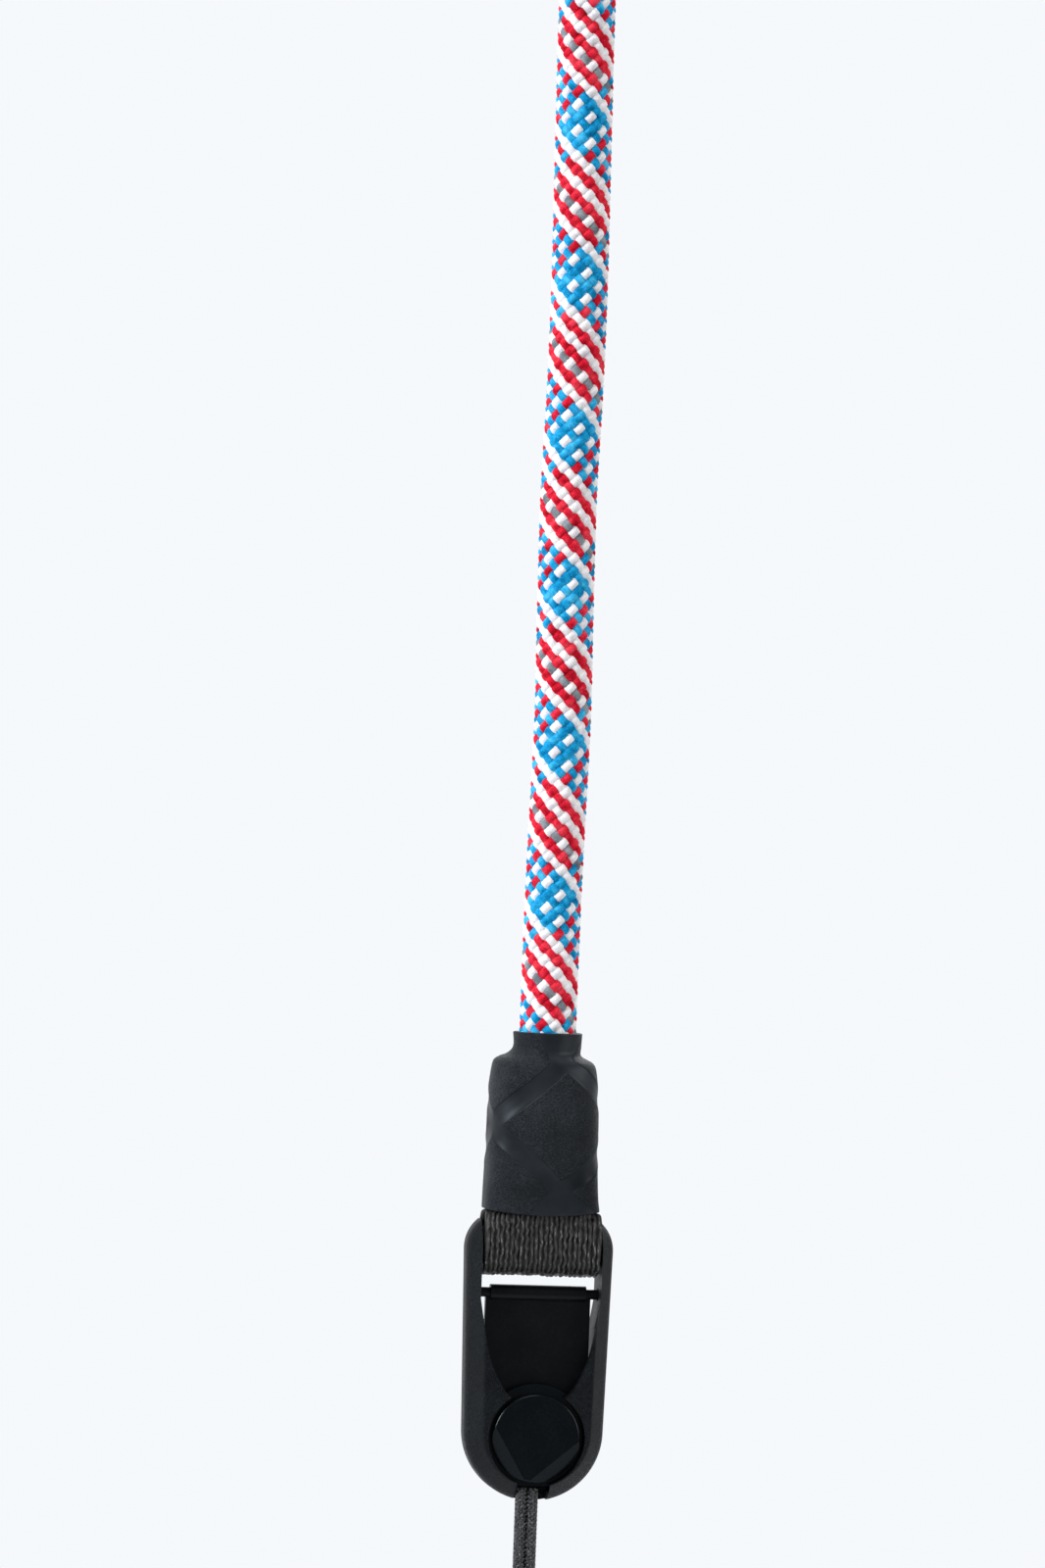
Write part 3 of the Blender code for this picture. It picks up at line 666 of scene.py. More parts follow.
def sleeve_rows():
    """Half width, half depth, shift, squareness and height of each cross-section, from the top down."""
    rows = []
    for table, near, far in ((SHOULDER, SLEEVE_NECK, SLEEVE_BODY), (FOOT, SLEEVE_BODY, SLEEVE_FOOT)):
        for down, width, depth, shift, square in table:
            sizes = [n + (f - n) * swell for n, f, swell in zip(near, far, (width, depth))]
            rows.append((*sizes, shift * SLEEVE_BODY[0], square, SLEEVE_TOP - down * SLEEVE_LENGTH))
    return rows


def sleeve_ring(row, inset):
    """The points of one cross-section, drawn in by the inset, from the middle of the front round."""
    half_width, half_depth, shift, square, height = row
    ring = []
    for i in range(SLEEVE_SIDES):
        angle = 2 * math.pi * i / SLEEVE_SIDES - math.pi / 2
        c, s = math.cos(angle), math.sin(angle)
        stretch = (abs(c) ** square + abs(s) ** square) ** (-1 / square)
        x = shift + (half_width - inset) * stretch * c
        ring.append(Vector((x, (half_depth - inset) * stretch * s, height)))
    return ring


def groove_at(around, height):
    """How deep in a groove a point is: 1 in its middle, 0 at a diamond's edge, below 0 on the diamond."""
    u = around - DIAMOND_MIDDLE[0]
    h = height - DIAMOND_MIDDLE[1]
    slants = (u / DIAMOND_WIDTH + h / DIAMOND_HEIGHT, u / DIAMOND_WIDTH - h / DIAMOND_HEIGHT)
    if tuple(math.floor(slant + 0.5) for slant in slants) in BARE_DIAMONDS:
        return 1.0
    off = min(abs((slant % 1.0) - 0.5) / GROOVE_SHARE for slant in slants)
    return max(-1.0, 1 - off**2)


curve_rows = eased(sleeve_rows(), 12)[::-1]
heights = np.linspace(curve_rows[-1, 4], curve_rows[0, 4], round(SLEEVE_LENGTH / SLEEVE_STEP) + 1)
rows = np.column_stack([np.interp(heights, curve_rows[:, 4], column) for column in curve_rows.T])
outside = []
for row in rows:
    ring = sleeve_ring(row, 0.0)
    lengths = [(ring[i] - ring[i - 1]).length for i in range(1, len(ring))]
    total = sum(lengths) + (ring[0] - ring[-1]).length
    above_foot = row[4] - SLEEVE_TOP + SLEEVE_LENGTH
    travelled = 0.0
    for i, point in enumerate(ring):
        around = (travelled if travelled <= total / 2 else travelled - total) * 2 * DIAMOND_WIDTH / total
        inside = groove_at(around, row[4])
        fade = max(0.0, min(1.0, (SLEEVE_TOP - row[4]) / NECK_FADE, above_foot / FOOT_FADE))
        dip = max(0.0, inside)
        edge = math.exp(-((inside + 0.25) / 0.22) ** 2)
        sunk = (GROOVE_DEPTH * dip * dip * (3 - 2 * dip) - DIAMOND_RIM * edge) * fade
        centre = Vector((row[2], 0, row[4]))
        low = max(0.0, 1 - above_foot / SAG_REACH)
        sag = FOOT_SAG * low**2 * max(0.0, 1 - (point.x / SLEEVE_FOOT[0]) ** 2)
        ring[i] = point + (centre - point).normalized() * sunk - Vector((0, 0, sag))
        if i < len(lengths):
            travelled += lengths[i]
    outside.append(ring)
inner_rows = rows[::4]
if tuple(inner_rows[-1]) != tuple(rows[-1]):
    inner_rows = np.vstack([inner_rows, rows[-1]])
inside_rings = [sleeve_ring(row, SLEEVE_WALL) for row in inner_rows]
for point in inside_rings[-1]:
    point.z -= FOOT_SAG * max(0.0, 1 - (point.x / SLEEVE_FOOT[0]) ** 2)
sleeve_bm = skin_rings(outside + inside_rings[::-1], closed=True)
lip_edges = [
    edge
    for edge in sleeve_bm.edges
    if edge.is_manifold and edge.calc_face_angle(0) > math.radians(60)
]
bmesh.ops.bevel(
    sleeve_bm,
    geom=lip_edges,
    offset=SLEEVE_LIP_ROUND,
    segments=3,
    profile=0.5,
    affect="EDGES",
    material=-1,
    clamp_overlap=True,
)
sleeve_mesh = finished_mesh(sleeve_bm, "sleeve", 60.0)
groove_map = sleeve_mesh.attributes.new("groove", "FLOAT", "POINT")
for index, vertex in enumerate(sleeve_mesh.vertices):
    x, y, z = vertex.co
    row = rows[int(np.argmin(np.abs(rows[:, 4] - z)))]
    angle = math.atan2(x - row[2], -y)
    groove_map.data[index].value = groove_at(angle / math.pi * DIAMOND_WIDTH, z)

sleeve_finish, nodes, links, shader = new_material(
    "rubber_sleeve", (0.01, 0.011, 0.013), 0.5, Specular_IOR_Level=0.21, Specular_Tint=COOL
)
place = node(nodes, "ShaderNodeTexCoord")
grain = node(nodes, "ShaderNodeTexNoise", Scale=1.0, Detail=2.5, Roughness=0.65)
brushed = node(nodes, "ShaderNodeMapping", Scale=(3100.0, 3100.0, 6400.0))
cloud = node(nodes, "ShaderNodeTexNoise", Scale=160.0, Detail=2.0)
groove = node(nodes, "ShaderNodeAttribute", attribute_name="groove")
grained = node(nodes, "ShaderNodeMapRange", From_Min=-0.12, From_Max=0.12, To_Min=1.0, To_Max=0.0)
links.new(place.outputs["Object"], brushed.inputs["Vector"])
links.new(brushed.outputs["Vector"], grain.inputs["Vector"])
links.new(place.outputs["Object"], cloud.inputs["Vector"])
links.new(groove.outputs["Fac"], grained.inputs["Value"])
height = node(nodes, "ShaderNodeMath", operation="MULTIPLY")
links.new(grain.outputs["Fac"], height.inputs[0])
links.new(grained.outputs["Result"], height.inputs[1])
bumped(nodes, links, shader, height.outputs[0], 1.0, 0.00042)
rough = node(nodes, "ShaderNodeMapRange", To_Min=0.43, To_Max=0.50)
links.new(grained.outputs["Result"], rough.inputs["Value"])
links.new(rough.outputs["Result"], shader.inputs["Roughness"])
groove_tone = node(nodes, "ShaderNodeMapRange", From_Min=-0.12, From_Max=0.12, To_Min=0.0, To_Max=0.40)
links.new(groove.outputs["Fac"], groove_tone.inputs["Value"])
clouds = scaled(nodes, links, cloud.outputs["Fac"], 0.30, groove_tone.outputs["Result"])
speckle = scaled(nodes, links, height.outputs[0], 0.75, clouds)
tone = color_ramp(nodes, (0.47, (0.0024, 0.0031, 0.0044)), (0.72, (0.034, 0.039, 0.047)))
links.new(speckle, tone.inputs["Fac"])
links.new(tone.outputs["Color"], shader.inputs["Base Color"])
end_pieces("sleeve_tube", sleeve_mesh, "strap", "sleeve", "{}_sleeve", sleeve_finish)

# The webbing: a coarse ribbed strip of black polyester, folded round the link's top bar. Its two legs run
# up into the sleeve, one in front of the rope's end and one behind it.
WEBBING_HALF_WIDTH = 10.0 * MM
WEBBING_THICKNESS = 1.8 * MM
BAR_BOTTOM = 29.3 * MM
BAR_HEIGHT = 6.2 * MM
BAR_HALF_DEPTH = 2.2 * MM
WEBBING_STEP = 0.30 * MM
FOLD_STEPS = 40
CUP_DEPTH = 3.9 * MM  # how far the legs' edges bend in round the rope
EDGE_SHARE = 0.04  # how much of the strip's half width thins towards its edge
RIBS = 24
RIB_COLUMNS = 4
RIB_RISE = 0.38 * MM
INNER_RIB_SHARE = 0.4  # how high the ribs stand on the inner face, against that
# Every rib stands up and sways by its own small amount at each pick of the weave
PICKS = np.random.default_rng(8)
PICK_RUNS = np.arange(0, 110 * MM, 0.62 * MM)
PICK_RISE = PICKS.uniform(0.10, 1.0, (RIBS, len(PICK_RUNS)))
PICK_SWAY = PICKS.uniform(-0.28, 0.28, (RIBS, len(PICK_RUNS)))
LEG_TOP = 57.8 * MM
ROPE_END = 51.8 * MM
SLEEVE_FOOT_HEIGHT = SLEEVE_TOP - SLEEVE_LENGTH
# Columns: how far down from the rope's end to the sleeve's foot, and shares of the gap, cup and width
LEG = (
    (0.0, 0.0, 1.0, 0.0),
    (0.29, 0.26, 0.86, 0.04),
    (0.67, 0.73, 0.66, 0.16),
    (0.93, 0.98, 0.52, 0.36),
    (1.0, 1.0, 0.49, 0.40),
    (1.035, 1.0, 0.40, 0.90),
    (1.12, 1.0, 0.15, 0.99),
    (1.20, 1.0, 0.0, 1.0),
)
narrow = SLEEVE_BODY[0] - SLEEVE_WALL - 1.05 * MM
rope_gap = ROPE_DIAMETER / 2 + 0.3 * MM
bar_gap = BAR_HALF_DEPTH + 0.3 * MM
leg_rows = [(LEG_TOP, rope_gap, CUP_DEPTH, narrow)]
for down_share, gap, cup, width in LEG:
    leg_rows.append(
        (
            ROPE_END - down_share * (ROPE_END - SLEEVE_FOOT_HEIGHT),
            rope_gap + (bar_gap - rope_gap) * gap,
            CUP_DEPTH * cup,
            narrow + (WEBBING_HALF_WIDTH - narrow) * width,
        )
    )
bar_middle = BAR_BOTTOM + BAR_HALF_DEPTH
leg_rows.append((bar_middle + 1.6 * MM, bar_gap, 0.0, WEBBING_HALF_WIDTH))
fine_rows = eased(leg_rows, 5)


def webbing_ring(middle, outward, half_width, cup, run):
    """One cross-section of the strip: ribs on both faces, edges bent in by the cup."""
    columns = RIBS * RIB_COLUMNS
    ring = []
    for face in (1, -1):
        steps = range(columns + 1) if face > 0 else range(columns, -1, -1)
        for i in steps:
            across = 2 * i / columns - 1
            rib = i / RIB_COLUMNS
            phase = rib - math.floor(rib)
            crown = math.sin(math.pi * phase) ** 0.8 if 0 < phase < 1 else 0.0
            yarn = min(RIBS - 1, math.floor(rib))
            proud = np.interp(run, PICK_RUNS, PICK_RISE[yarn])
            rise = RIB_RISE * crown * proud if face > 0 else RIB_RISE * INNER_RIB_SHARE * crown
            sway = np.interp(run, PICK_RUNS, PICK_SWAY[yarn]) * MM
            thick = face * (WEBBING_THICKNESS / 2 - RIB_RISE * 0.8 + rise) - cup * abs(across) ** 3
            thick *= 1 - 0.35 * max(0.0, abs(across) - (1 - EDGE_SHARE)) / EDGE_SHARE
            x = across * half_width + (sway * crown if abs(across) < 0.97 else 0.0)
            ring.append((x, middle[0] + outward[0] * thick, middle[1] + outward[1] * thick))
    return ring


path_rows = []
for height, gap, cup, width in fine_rows:
    path_rows.append(((-(gap + WEBBING_THICKNESS / 2), height), (-1.0, 0.0), width, cup))
fold_radius = bar_gap + WEBBING_THICKNESS / 2
for i in range(1, FOLD_STEPS):
    angle = math.pi + math.pi * i / FOLD_STEPS
    outward = (math.cos(angle), math.sin(angle))
    middle = (outward[0] * fold_radius, bar_middle + outward[1] * fold_radius)
    path_rows.append((middle, outward, WEBBING_HALF_WIDTH, 0.0))
for height, gap, cup, width in fine_rows[::-1]:
    path_rows.append(((gap + WEBBING_THICKNESS / 2, height), (1.0, 0.0), width, cup))
rings = []
run = 0.0
for (middle, outward, width, cup), following in zip(path_rows, path_rows[1:]):
    next_middle, next_outward, next_width, next_cup = following
    gap = (Vector(next_middle) - Vector(middle)).length
    steps = max(1, round(gap / WEBBING_STEP))
    for step in range(steps):
        t = step / steps
        spot = Vector(middle).lerp(Vector(next_middle), t)
        facing = Vector(outward).lerp(Vector(next_outward), t).normalized()
        between = (width + (next_width - width) * t, cup + (next_cup - cup) * t)
        rings.append(webbing_ring(spot, facing, *between, run + gap * t))
    run += gap
webbing_bm = skin_rings(rings)
ring_size = len(rings[0])
# Painted shade: this attribute is 1 at each rib's middle and 0 in the gaps between ribs, where the colour
# is darkened.
rib_gap_shade_layer = webbing_bm.verts.layers.float.new("crown")
for index, vert in enumerate(webbing_bm.verts):
    step = index % ring_size
    rib = (step if step <= RIBS * RIB_COLUMNS else ring_size - 1 - step) / RIB_COLUMNS
    vert[rib_gap_shade_layer] = abs(math.sin(math.pi * rib))
webbing_mesh = finished_mesh(webbing_bm, "webbing", 80.0)
webbing_finish, nodes, links, shader = new_material(
    "webbing_yarn", (0.02, 0.02, 0.02), 0.30, Specular_IOR_Level=0.26
)
place = node(nodes, "ShaderNodeTexCoord")
threads = node(nodes, "ShaderNodeTexNoise", Scale=1.0, Detail=3.0, Roughness=0.65)
stretch = node(nodes, "ShaderNodeMapping", Scale=(3600.0, 3600.0, 760.0))
links.new(place.outputs["Object"], stretch.inputs["Vector"])
links.new(stretch.outputs["Vector"], threads.inputs["Vector"])
# Painted light: the tone darkens the gaps between ribs as painted shade, and its lightest stop paints
# glints on the brightest fibres.
crown = node(nodes, "ShaderNodeAttribute", attribute_name="crown")
fibres = scaled(nodes, links, threads.outputs["Fac"], 0.55)
shade = scaled(nodes, links, crown.outputs["Fac"], 0.42, fibres)
tone = color_ramp(
    nodes,
    (0.46, (0.0012, 0.0011, 0.001)),
    (0.70, (0.050, 0.049, 0.048)),
    (0.80, (0.26, 0.27, 0.28)),
)
links.new(shade, tone.inputs["Fac"])
links.new(tone.outputs["Color"], shader.inputs["Base Color"])
bumped(nodes, links, shader, threads.outputs["Fac"], 0.9, 0.00022)
end_pieces("webbing_strip", webbing_mesh, "strap", "webbing", "{}_webbing", webbing_finish)

# The link housings: one moulding of black grained plastic, flat in front with a wide sloped edge. It
# holds the webbing's bar at the top and the button's seat below, with a lip in front of the seat, a funnel
# that leads the button in, and a slot for its cord.
HOUSING_TOP = 38.2 * MM
HOUSING_BOTTOM = -11.0 * MM
FOOT_RADIUS = 12.0 * MM
TOP_WIDTH = 25.3 * MM
TOP_CORNER = 6.4 * MM
FRONT_SLOPE = 3.1 * MM
BACK_SLOPE = 1.3 * MM
# Columns: depth as a share of the thickness, inset as a share of that edge's width
FRONT_EDGE = (
    (0.0, 1.0),
    (0.007, 0.945),
    (0.026, 0.875),
    (0.06, 0.80),
    (0.15, 0.60),
    (0.26, 0.36),
    (0.34, 0.185),
    (0.40, 0.085),
    (0.45, 0.03),
    (0.52, 0.0),
)
BACK_EDGE = ((0.82, 0.0), (0.87, 0.08), (0.92, 0.24), (0.96, 0.48), (0.985, 0.74), (1.0, 1.0))
LIP_THICKNESS = 1.8 * MM
LIP_RADIUS = 8.25 * MM
SEAT_RADIUS = 9.55 * MM
SEAT_DEPTH = 6.3 * MM
MOUTH_HALF_GAP = 4.6 * MM
BACK_WALL_TOP = 1.8 * MM
SLOT_SHIFT = -0.2 * MM
SLOT_HALF_WIDTH = 2.85 * MM
SLOT_TOP = -7.6 * MM
SLOT_DEPTH = SEAT_DEPTH + 0.3 * MM  # past the seat's back, so that the two cuts share no plane
CUT_START = -3 * MM  # cuts through the front begin this far before it
WINDOW_HALF_WIDTH = 10.3 * MM
PIN_HOLE_RADIUS = 1.15 * MM
PIN_HOLE_END = 11.6 * MM
HOUSING_ROUND = 0.16 * MM
HINGE_HEIGHT = 24.35 * MM
HINGE_DEPTH = 4.95 * MM
FUNNEL_TOP = 23.5 * MM
# How the funnel widens: height and width as shares, from the lip's mouth up
FUNNEL = (
    (0.0, 0.0),
    (0.06, 0.175),
    (0.15, 0.35),
    (0.27, 0.53),
    (0.37, 0.65),
    (0.52, 0.77),
    (0.73, 0.88),
    (1.0, 1.0),
)


def arc(center, radius, start, end, steps):
    """Points of an arc in the (x, z) plane, angles in degrees, both ends included."""
    angles = [math.radians(start + (end - start) * i / steps) for i in range(steps + 1)]
    return [(center[0] + radius * math.cos(a), center[1] + radius * math.sin(a)) for a in angles]


def mirrored(half):
    """The outline of a right half, bottom to top, and its mirror image back down."""
    return list(half) + [(-x, z) for x, z in reversed(half) if abs(x) > 1e-9]


def prism(outline, near, far):
    """A bmesh of the outline of (x, z) points, extruded between two depths below the front face."""
    bm = bmesh.new()
    verts = [bm.verts.new((x, near - THICKNESS / 2, z)) for x, z in outline]
    face = bm.faces.new(verts)
    grown = bmesh.ops.extrude_face_region(bm, geom=[face])["geom"]
    moved = [item for item in grown if isinstance(item, bmesh.types.BMVert)]
    bmesh.ops.translate(bm, verts=moved, vec=(0, far - near, 0))
    return bm


def joined(name, base, tools, edge_round, smooth_under):
    """The base bmesh with tools cut out of it or added, and a small round on its sharp edges."""
    blank = bpy.data.objects.new(name, finished_mesh(base, name, smooth_under))
    bpy.context.collection.objects.link(blank)
    helpers = []
    for tool_bm, operation in tools:
        tool = bpy.data.objects.new("tool", finished_mesh(tool_bm, "tool", smooth_under))
        bpy.context.collection.objects.link(tool)
        helpers.append(tool)
        modifier = blank.modifiers.new("cut", "BOOLEAN")
        modifier.operation = operation
        modifier.solver = "EXACT"
        modifier.object = tool
    weld = blank.modifiers.new("weld", "WELD")
    weld.merge_threshold = 0.004 * MM
    rounding = blank.modifiers.new("round", "BEVEL")
    rounding.width = edge_round
    rounding.segments = 3
    rounding.limit_method = "ANGLE"
    rounding.angle_limit = math.radians(38)
    rounding.use_clamp_overlap = True
    even_shade = blank.modifiers.new("even shade", "WEIGHTED_NORMAL")
    even_shade.keep_sharp = True
    even_shade.weight = 100
    graph = bpy.context.evaluated_depsgraph_get()
    made = bpy.data.meshes.new_from_object(blank.evaluated_get(graph), depsgraph=graph)
    for tool in (*helpers, blank):
        data = tool.data
        bpy.data.objects.remove(tool)
        bpy.data.meshes.remove(data)
    made.name = name
    return made


def housing_outline(inset):
    """The link's outline, drawn in by the inset: a full round foot, sides, and two top corners."""
    foot = arc((0, HOUSING_BOTTOM + FOOT_RADIUS), FOOT_RADIUS - inset, -90, 0, 28)
    corner = (TOP_WIDTH / 2 - TOP_CORNER, HOUSING_TOP - TOP_CORNER)
    return mirrored(foot + arc(corner, TOP_CORNER - inset, 0, 90, 16))


housing_rings = []
for edge, width in ((FRONT_EDGE, FRONT_SLOPE), (BACK_EDGE, BACK_SLOPE)):
    for share, inset in edge:
        housing_rings.append(
            [(x, share * THICKNESS - THICKNESS / 2, z) for x, z in housing_outline(inset * width)]
        )
beyond = HOUSING_TOP + TOP_CORNER
mouth = math.sqrt(LIP_RADIUS**2 - MOUTH_HALF_GAP**2)
front_opening = arc((0, 0), LIP_RADIUS, -90, math.degrees(math.atan2(mouth, MOUTH_HALF_GAP)), 44)
for rise, spread in eased(FUNNEL, 4)[1:]:
    front_opening.append(
        (
            MOUTH_HALF_GAP + (WINDOW_HALF_WIDTH - MOUTH_HALF_GAP) * spread,
            mouth + (FUNNEL_TOP - mouth) * rise,
        )
    )
front_opening.append((WINDOW_HALF_WIDTH, beyond))
channel = [
    (SEAT_RADIUS, FUNNEL_TOP - MOUTH_HALF_GAP),
    (WINDOW_HALF_WIDTH, FUNNEL_TOP),
    (WINDOW_HALF_WIDTH, beyond),
]
slot = [
    (SLOT_SHIFT - SLOT_HALF_WIDTH, 2 * HOUSING_BOTTOM),
    (SLOT_SHIFT + SLOT_HALF_WIDTH, 2 * HOUSING_BOTTOM),
    (SLOT_SHIFT + SLOT_HALF_WIDTH, SLOT_TOP),
    (SLOT_SHIFT - SLOT_HALF_WIDTH, SLOT_TOP),
]
hinge_middle = (0, HINGE_DEPTH - THICKNESS / 2, HINGE_HEIGHT)
pin_hole = bmesh.new()
bmesh.ops.create_cone(
    pin_hole,
    cap_ends=True,
    segments=32,
    radius1=PIN_HOLE_RADIUS,
    radius2=PIN_HOLE_RADIUS,
    depth=2 * PIN_HOLE_END,
    matrix=Matrix.Translation(hinge_middle) @ Matrix.Rotation(math.pi / 2, 4, "Y"),
)
bar_outline = arc((0, bar_middle), BAR_HALF_DEPTH, 180, 360, 24)
bar_outline += arc((0, BAR_BOTTOM + BAR_HEIGHT - BAR_HALF_DEPTH), BAR_HALF_DEPTH, 0, 180, 24)
bar_end = WINDOW_HALF_WIDTH + 0.5 * MM
top_bar = skin_rings([[(x, y, z) for y, z in bar_outline] for x in (-bar_end, bar_end)])
seat = arc((0, 0), SEAT_RADIUS, -90, 0, 28) + channel
window = [(SEAT_RADIUS, BACK_WALL_TOP), *channel]
housing_mesh = joined(
    "housing",
    skin_rings(housing_rings),
    (
        (prism(mirrored(front_opening), CUT_START, LIP_THICKNESS + 0.1 * MM), "DIFFERENCE"),
        (prism(mirrored(seat), LIP_THICKNESS, SEAT_DEPTH), "DIFFERENCE"),
        (prism(mirrored(window), SEAT_DEPTH - 0.1 * MM, 2 * THICKNESS), "DIFFERENCE"),
        (prism(slot, CUT_START, SLOT_DEPTH), "DIFFERENCE"),
        (pin_hole, "DIFFERENCE"),
        (top_bar, "UNION"),
    ),
    HOUSING_ROUND,
    30.0,
)


def moulded_plastic(name, dark, light, roughness, grain_scale, grain_depth, **sockets):
    """Moulded plastic with a fine grain, faint clouds in its tone, and rougher and smoother spots."""
    made, nodes, links, shader = new_material(name, dark, roughness[0], **sockets)
    place = node(nodes, "ShaderNodeTexCoord")
    grain = node(nodes, "ShaderNodeTexNoise", Scale=grain_scale, Detail=2.0, Roughness=0.6)
    cloud = node(nodes, "ShaderNodeTexNoise", Scale=240.0, Detail=3.0)
    links.new(place.outputs["Object"], grain.inputs["Vector"])
    links.new(place.outputs["Object"], cloud.inputs["Vector"])
    speckle = scaled(nodes, links, grain.outputs["Fac"], 0.65)
    tone = color_ramp(nodes, (0.46, dark), (0.72, light))
    links.new(scaled(nodes, links, cloud.outputs["Fac"], 0.35, speckle), tone.inputs["Fac"])
    links.new(tone.outputs["Color"], shader.inputs["Base Color"])
    rough = node(
        nodes, "ShaderNodeMapRange", From_Min=0.3, From_Max=0.7, To_Min=roughness[0], To_Max=roughness[1]
    )
    links.new(cloud.outputs["Fac"], rough.inputs["Value"])
    links.new(rough.outputs["Result"], shader.inputs["Roughness"])
    bumped(nodes, links, shader, grain.outputs["Fac"], 0.8, grain_depth)
    return made


housing_finish = moulded_plastic(
    "grained_plastic",
    (0.0003, 0.0005, 0.0008),
    (0.010, 0.012, 0.015),
    roughness=(0.34, 0.44),
    grain_scale=4200.0,
    grain_depth=0.00034,
    Specular_IOR_Level=0.12,
    Specular_Tint=COOL,
)
end_pieces("link_housing", housing_mesh, "strap", "housing", "{}_housing", housing_finish)

# The flaps: a sprung tongue of glossy black plastic behind each button. Its top is a thick roll with a pin
# at each end, which turns in the housing's sides, and its plate closes the way out above the seat.
FLAP_HALF_WIDTH = 9.0 * MM
FLAP_THICKNESS = 1.3 * MM
FLAP_CORNER = 3.5 * MM
FLAP_REACH = 21.7 * MM
ROLL_RADIUS = 1.4 * MM
ROLL_HALF_LENGTH = 8.2 * MM
PIN_RADIUS = 0.85 * MM
PIN_END = 11.3 * MM
FLAP_ROUND = 0.14 * MM


def spun(profile, axis, steps):
    """A bmesh of the profile, points of (along, radius), spun a full turn about the axis."""
    bm = bmesh.new()
    along = Vector((1, 0, 0)) if axis == "X" else Vector((0, 1, 0))
    verts = [bm.verts.new(along * a + Vector((0, 0, r))) for a, r in profile]
    edges = [bm.edges.new(pair) for pair in zip(verts, verts[1:])]
    bmesh.ops.spin(
        bm, geom=verts + edges, cent=(0, 0, 0), axis=along, angle=2 * math.pi, steps=steps, use_merge=True
    )
    bmesh.ops.remove_doubles(bm, verts=bm.verts, dist=0.001 * MM)
    return bm


flap_corner_middle = (FLAP_HALF_WIDTH - FLAP_CORNER, HINGE_HEIGHT - FLAP_REACH + FLAP_CORNER)
flap_side = arc(flap_corner_middle, FLAP_CORNER, -90, 0, 14)
flap_plate = prism(
    mirrored(flap_side + [(FLAP_HALF_WIDTH, HINGE_HEIGHT)]),
    HINGE_DEPTH - FLAP_THICKNESS / 2,
    HINGE_DEPTH + FLAP_THICKNESS / 2,
)
roll = spun(
    (
        (-PIN_END, 0),
        (-PIN_END, PIN_RADIUS),
        (-ROLL_HALF_LENGTH, PIN_RADIUS),
        (-ROLL_HALF_LENGTH, ROLL_RADIUS),
        (ROLL_HALF_LENGTH, ROLL_RADIUS),
        (ROLL_HALF_LENGTH, PIN_RADIUS),
        (PIN_END, PIN_RADIUS),
        (PIN_END, 0),
    ),
    "X",
    36,
)
bmesh.ops.translate(roll, verts=roll.verts, vec=hinge_middle)
flap_mesh = joined("flap", flap_plate, ((roll, "UNION"),), FLAP_ROUND, 30.0)
flap_finish = moulded_plastic(
    "gloss_plastic",
    (0.0036, 0.0038, 0.0040),
    (0.0070, 0.0072, 0.0074),
    roughness=(0.28, 0.36),
    grain_scale=1800.0,
    grain_depth=0.00001,
    Specular_IOR_Level=0.14,
    Specular_Tint=COOL,
)
end_pieces("flap_tongue", flap_mesh, "{}_tongue", "gloss_parts", "{}_flap", flap_finish)

# The buttons: each is a glossy black moulding. Its round boss looks out through the lip, and its wider
# flange sits behind the lip. Two flats are cut low on the face, and the flange has a straight lower edge
# where the cord comes out.
BOSS_RADIUS = 7.5 * MM
FLANGE_RADIUS = 9.17 * MM
FACE_ROUND = 0.45 * MM
FLANGE_ROUND = 0.36 * MM
FLANGE_BACK_ROUND = 0.3 * MM
BUTTON_ROUND = 0.05 * MM
FACE_Y = 0.1 * MM - THICKNESS / 2
FLANGE_Y = 2.1 * MM - THICKNESS / 2
FLANGE_BACK_Y = 4.0 * MM - THICKNESS / 2
FLANGE_FLAT = 8.2 * MM
# Where each flat meets the face's rim, in degrees round it, and how deep the flat is at the side
FACET_ANGLES = ((168.0, 253.0), (264.0, 356.0))
FACET_DROP = 1.1 * MM


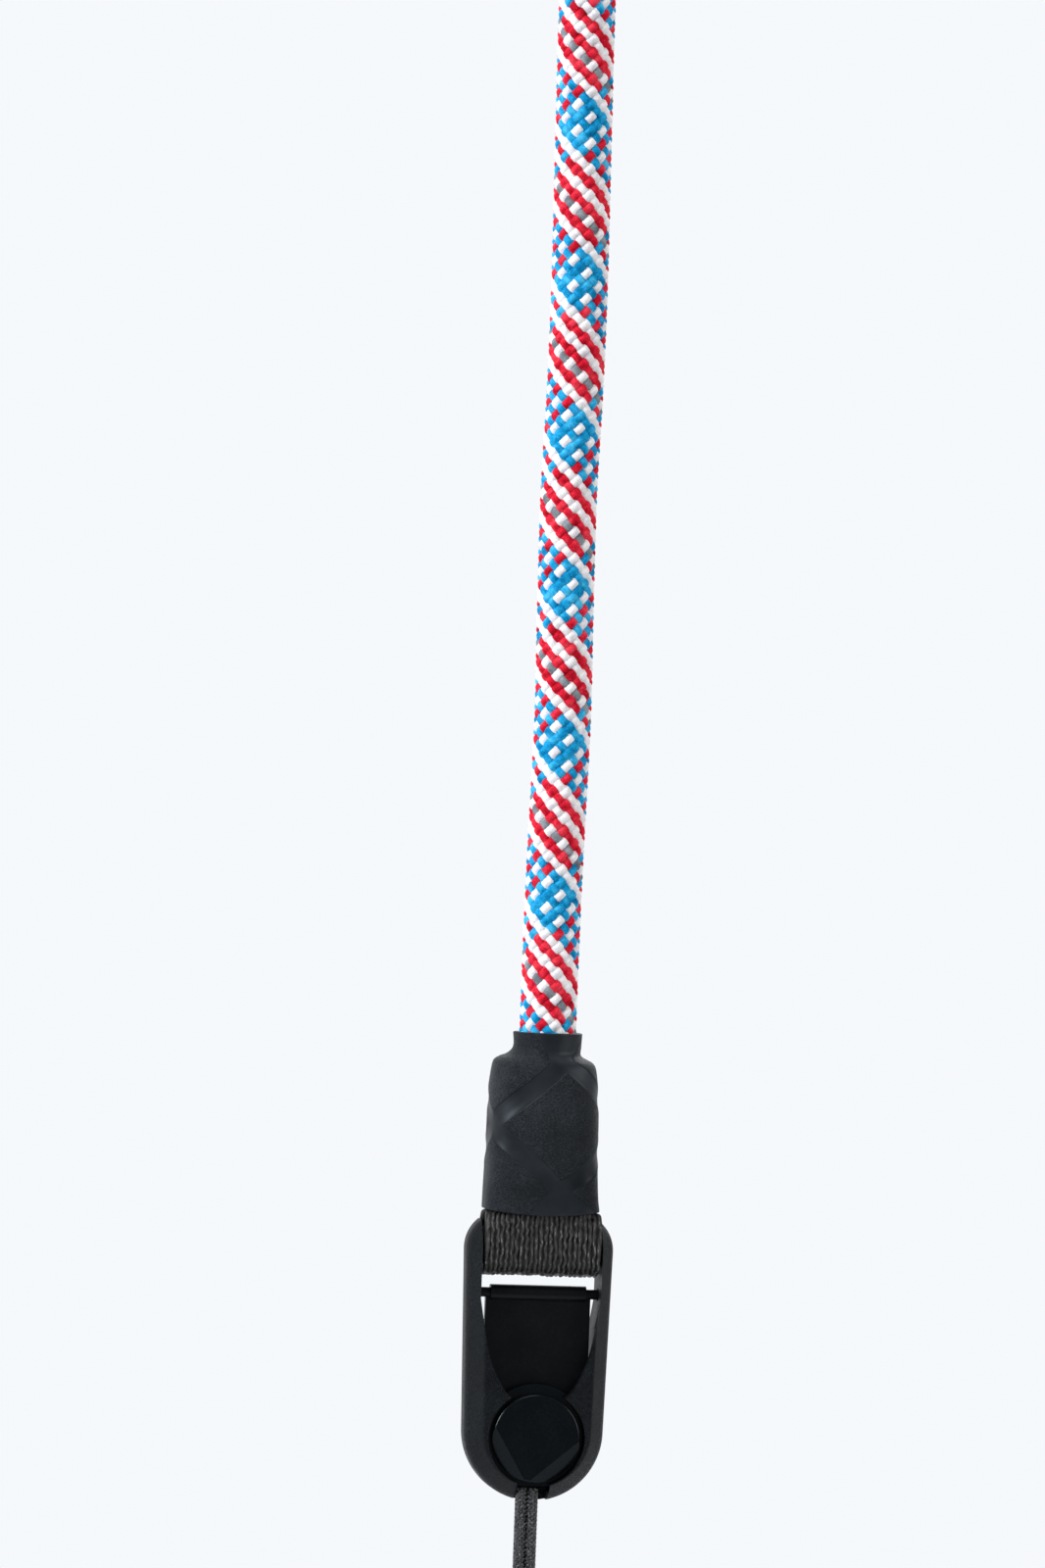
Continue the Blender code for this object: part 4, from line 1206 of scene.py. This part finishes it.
def slice_off(bm, point, normal):
    """Cut the bmesh at a plane, drop what lies on the normal's side and close the cut."""
    geometry = [*bm.verts, *bm.edges, *bm.faces]
    cut = bmesh.ops.bisect_plane(
        bm, geom=geometry, dist=1e-7, plane_co=point, plane_no=normal, clear_outer=True
    )
    edges = [item for item in cut["geom_cut"] if isinstance(item, bmesh.types.BMEdge)]
    bmesh.ops.holes_fill(bm, edges=edges, sides=0)


face_radius = BOSS_RADIUS - FACE_ROUND
face_corner = [
    (FACE_Y + FACE_ROUND * (1 - math.sin(a)), face_radius + FACE_ROUND * math.cos(a))
    for a in [math.radians(90 - 15 * i) for i in range(7)]
]
button = spun(
    (
        (FACE_Y, 0),
        *face_corner,
        (FLANGE_Y, BOSS_RADIUS),
        (FLANGE_Y, FLANGE_RADIUS - FLANGE_ROUND),
        (FLANGE_Y + 0.10 * MM, FLANGE_RADIUS - 0.10 * MM),
        (FLANGE_Y + FLANGE_ROUND, FLANGE_RADIUS),
        (FLANGE_BACK_Y - FLANGE_BACK_ROUND, FLANGE_RADIUS),
        (FLANGE_BACK_Y, FLANGE_RADIUS - FLANGE_BACK_ROUND),
        (FLANGE_BACK_Y, 0),
    ),
    "Y",
    96,
)
for degrees in FACET_ANGLES:
    first, last = [math.radians(a) for a in degrees]
    chord = [
        Vector((face_radius * math.cos(a), FACE_Y, face_radius * math.sin(a))) for a in (first, last)
    ]
    middle = (first + last) / 2
    rim = Vector((BOSS_RADIUS * math.cos(middle), FACE_Y + FACET_DROP, BOSS_RADIUS * math.sin(middle)))
    normal = (chord[1] - chord[0]).cross(rim - chord[0]).normalized()
    if normal.y > 0:
        normal.negate()
    slice_off(button, chord[0], normal)
slice_off(button, (0, 0, -FLANGE_FLAT), (0, 0, -1))
button_mesh = joined("anchor_disc", button, (), BUTTON_ROUND, 12.0)
button_finish = moulded_plastic(
    "button_plastic",
    (0.0014, 0.0021, 0.0028),
    (0.0034, 0.0046, 0.0058),
    roughness=(0.18, 0.24),
    grain_scale=2600.0,
    grain_depth=0.000004,
    Specular_IOR_Level=0.16,
    Specular_Tint=COOL,
)
end_pieces("button", button_mesh, "{}_anchor", "gloss_parts", "{}_anchor_disc", button_finish)
